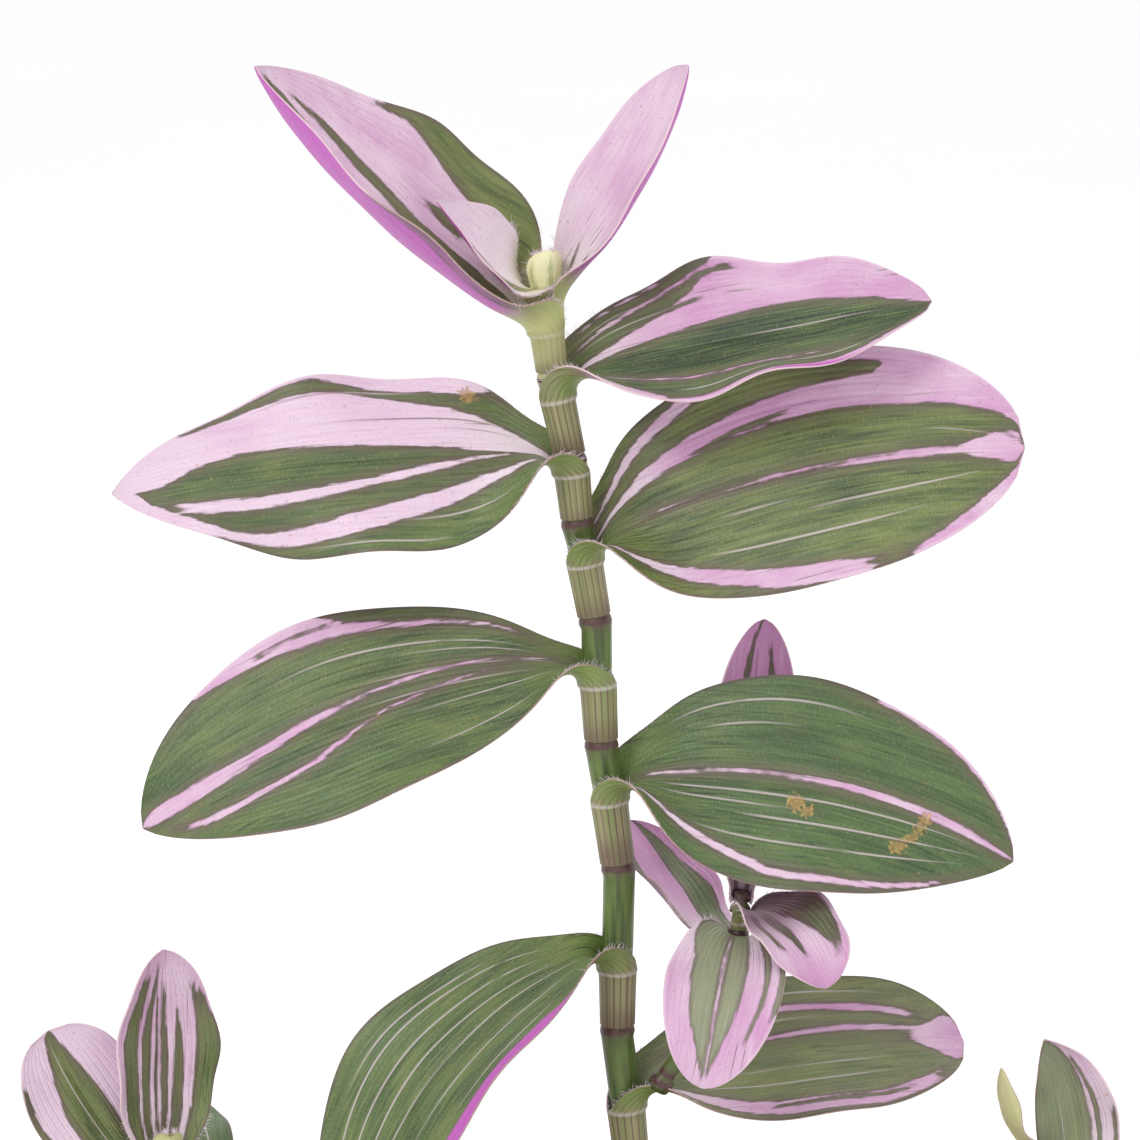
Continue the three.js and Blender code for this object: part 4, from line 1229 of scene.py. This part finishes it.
def make_crumbs(name, kind, feet, look, count, low, high):
    """Crumbs, chips or perlite from low to high millimetres across, lying on the soil, clear of the stems."""
    draw = random.Random(name)
    template = crumb_shape(kind)
    turns = []
    spots = []
    reach = inner_radius(SOIL_LEVEL) - WALL_CLEARANCE
    while len(spots) < count:
        x, y = draw.uniform(-reach, reach), draw.uniform(-reach, reach)
        nearest_foot = min(math.hypot(x - foot_x, y - foot_y) for foot_x, foot_y in feet)
        if math.hypot(x, y) > reach or nearest_foot < STEM_CLEARANCE:
            continue
        size = draw.uniform(low, high)
        lying = Vector((draw.gauss(0, 0.35), draw.gauss(0, 0.35), 1)).to_track_quat("Z", "Y")
        spin = np.array(lying.to_matrix())
        angle = draw.uniform(0, 2 * math.pi)
        cos, sin = math.cos(angle), math.sin(angle)
        flat = np.array([[cos, -sin, 0], [sin, cos, 0], [0, 0, 1]])
        turns.append(spin @ flat @ np.diag([draw.uniform(0.7, 1.2), draw.uniform(0.7, 1.2), 0.8]) * size * MM)
        spots.append(np.array([x, y, soil_height(x, y) + size * 0.12]) * MM)
    scatter(name, template, turns, spots, look, "soil")


# ---------------------------------------------------------------------------------------------------------
# Light and camera


def look_from(target, distance, elevation, width):
    """A camera in front of the plant that takes in a given width at its target, in millimetres."""
    lift = math.radians(elevation)
    back = Vector((0, -math.cos(lift), math.sin(lift)))
    camera = bpy.data.cameras.new("camera")
    camera.sensor_width = 36
    camera.lens = camera.sensor_width * distance / width
    camera.clip_start = 0.01
    camera.clip_end = 50
    placed = bpy.data.objects.new("camera", camera)
    placed.location = (Vector(target) + back * distance) * MM
    placed.rotation_euler = back.to_track_quat("Z", "Y").to_euler()
    bpy.context.scene.collection.objects.link(placed)
    bpy.context.scene.camera = placed


def soft_light(name, at, size, power, target):
    lamp = bpy.data.lights.new(name, "AREA")
    lamp.shape = "DISK"
    lamp.size = size
    lamp.energy = power
    placed = bpy.data.objects.new(name, lamp)
    placed.location = at
    placed.rotation_euler = (Vector(at) - Vector(target)).to_track_quat("Z", "Y").to_euler()
    bpy.context.scene.collection.objects.link(placed)


def make_floor():
    deselect()
    bpy.ops.mesh.primitive_plane_add(size=12)
    floor = start_piece("floor")
    look = Look("floor_white")
    mottle = look.noise(look.place(), scale=3)
    look.finish(look.mix(mottle, FLOOR_WHITE, FLOOR_BRIGHT), 0.9)
    floor.data.materials.append(look.material)


def light_studio():
    world = bpy.data.worlds.new("studio")
    world.use_nodes = True
    sky = world.node_tree.nodes["Background"]
    sky.inputs["Color"].default_value = (1, 1, 1, 1)
    sky.inputs["Strength"].default_value = 1.04
    bpy.context.scene.world = world
    middle = (0, 0, 0.22)
    soft_light("key", (-0.55, -0.9, 1.15), 0.4, 5, middle)
    soft_light("back", (0.3, 1.0, 0.8), 0.7, 2, middle)
    bpy.context.scene.view_settings.view_transform = "Standard"


# ---------------------------------------------------------------------------------------------------------
# The plant

look_from(target=(-9, 0, 240), distance=620, elevation=14, width=181.8)
light_studio()
make_floor()

make_pot(fired_clay())
make_soil(potting_mix())
feet = [shoot["foot"] for shoot in SHOOTS.values() if "foot" in shoot]
make_crumbs("soil_crumbs", "crumb", feet, potting_mix(), count=620, low=1.2, high=3.4)
make_crumbs("soil_bark", "chip", feet, bark_chip(), count=90, low=3, high=8)
make_crumbs("soil_perlite", "crumb", feet, perlite(), count=70, low=1.4, high=3.2)

leaf_looks = [leaf_face(), leaf_back(), leaf_margin()]
stem_look = stem_skin()
hair_look = fine_hair()
main_joints = walk_shoot(SHOOTS["main"], (*SHOOTS["main"]["foot"], SOIL_LEVEL + 1))


def start_of(shoot):
    """A shoot starts in the soil, or in the axil of one of the main shoot's leaves."""
    if "foot" in shoot:
        return (*shoot["foot"], SOIL_LEVEL + 1)
    axil = shoot["axil"]
    parent = main_joints[axil["joint"]]
    return parent["collar"] + plan_direction(axil["turn"]) * axil["out"] + parent["axis"] * axil["up"]


number = 0
for shoot_name, shoot in SHOOTS.items():
    joints = walk_shoot(shoot, start_of(shoot))
    make_stem(shoot_name + "_stem", shoot, joints, stem_look)
    counts = {"leaf": 0, "crown_leaf": 0}
    made = []
    for step in joints:
        if not step["leaf"]:
            continue
        kind = "crown_leaf" if step["crown"] else "leaf"
        counts[kind] += 1
        number += 1
        name = "_".join([shoot_name, kind, str(counts[kind])])
        made.append(make_leaf(name, number, step, leaf_looks))
    make_hairs(shoot_name + "_hairs", made, hair_look)
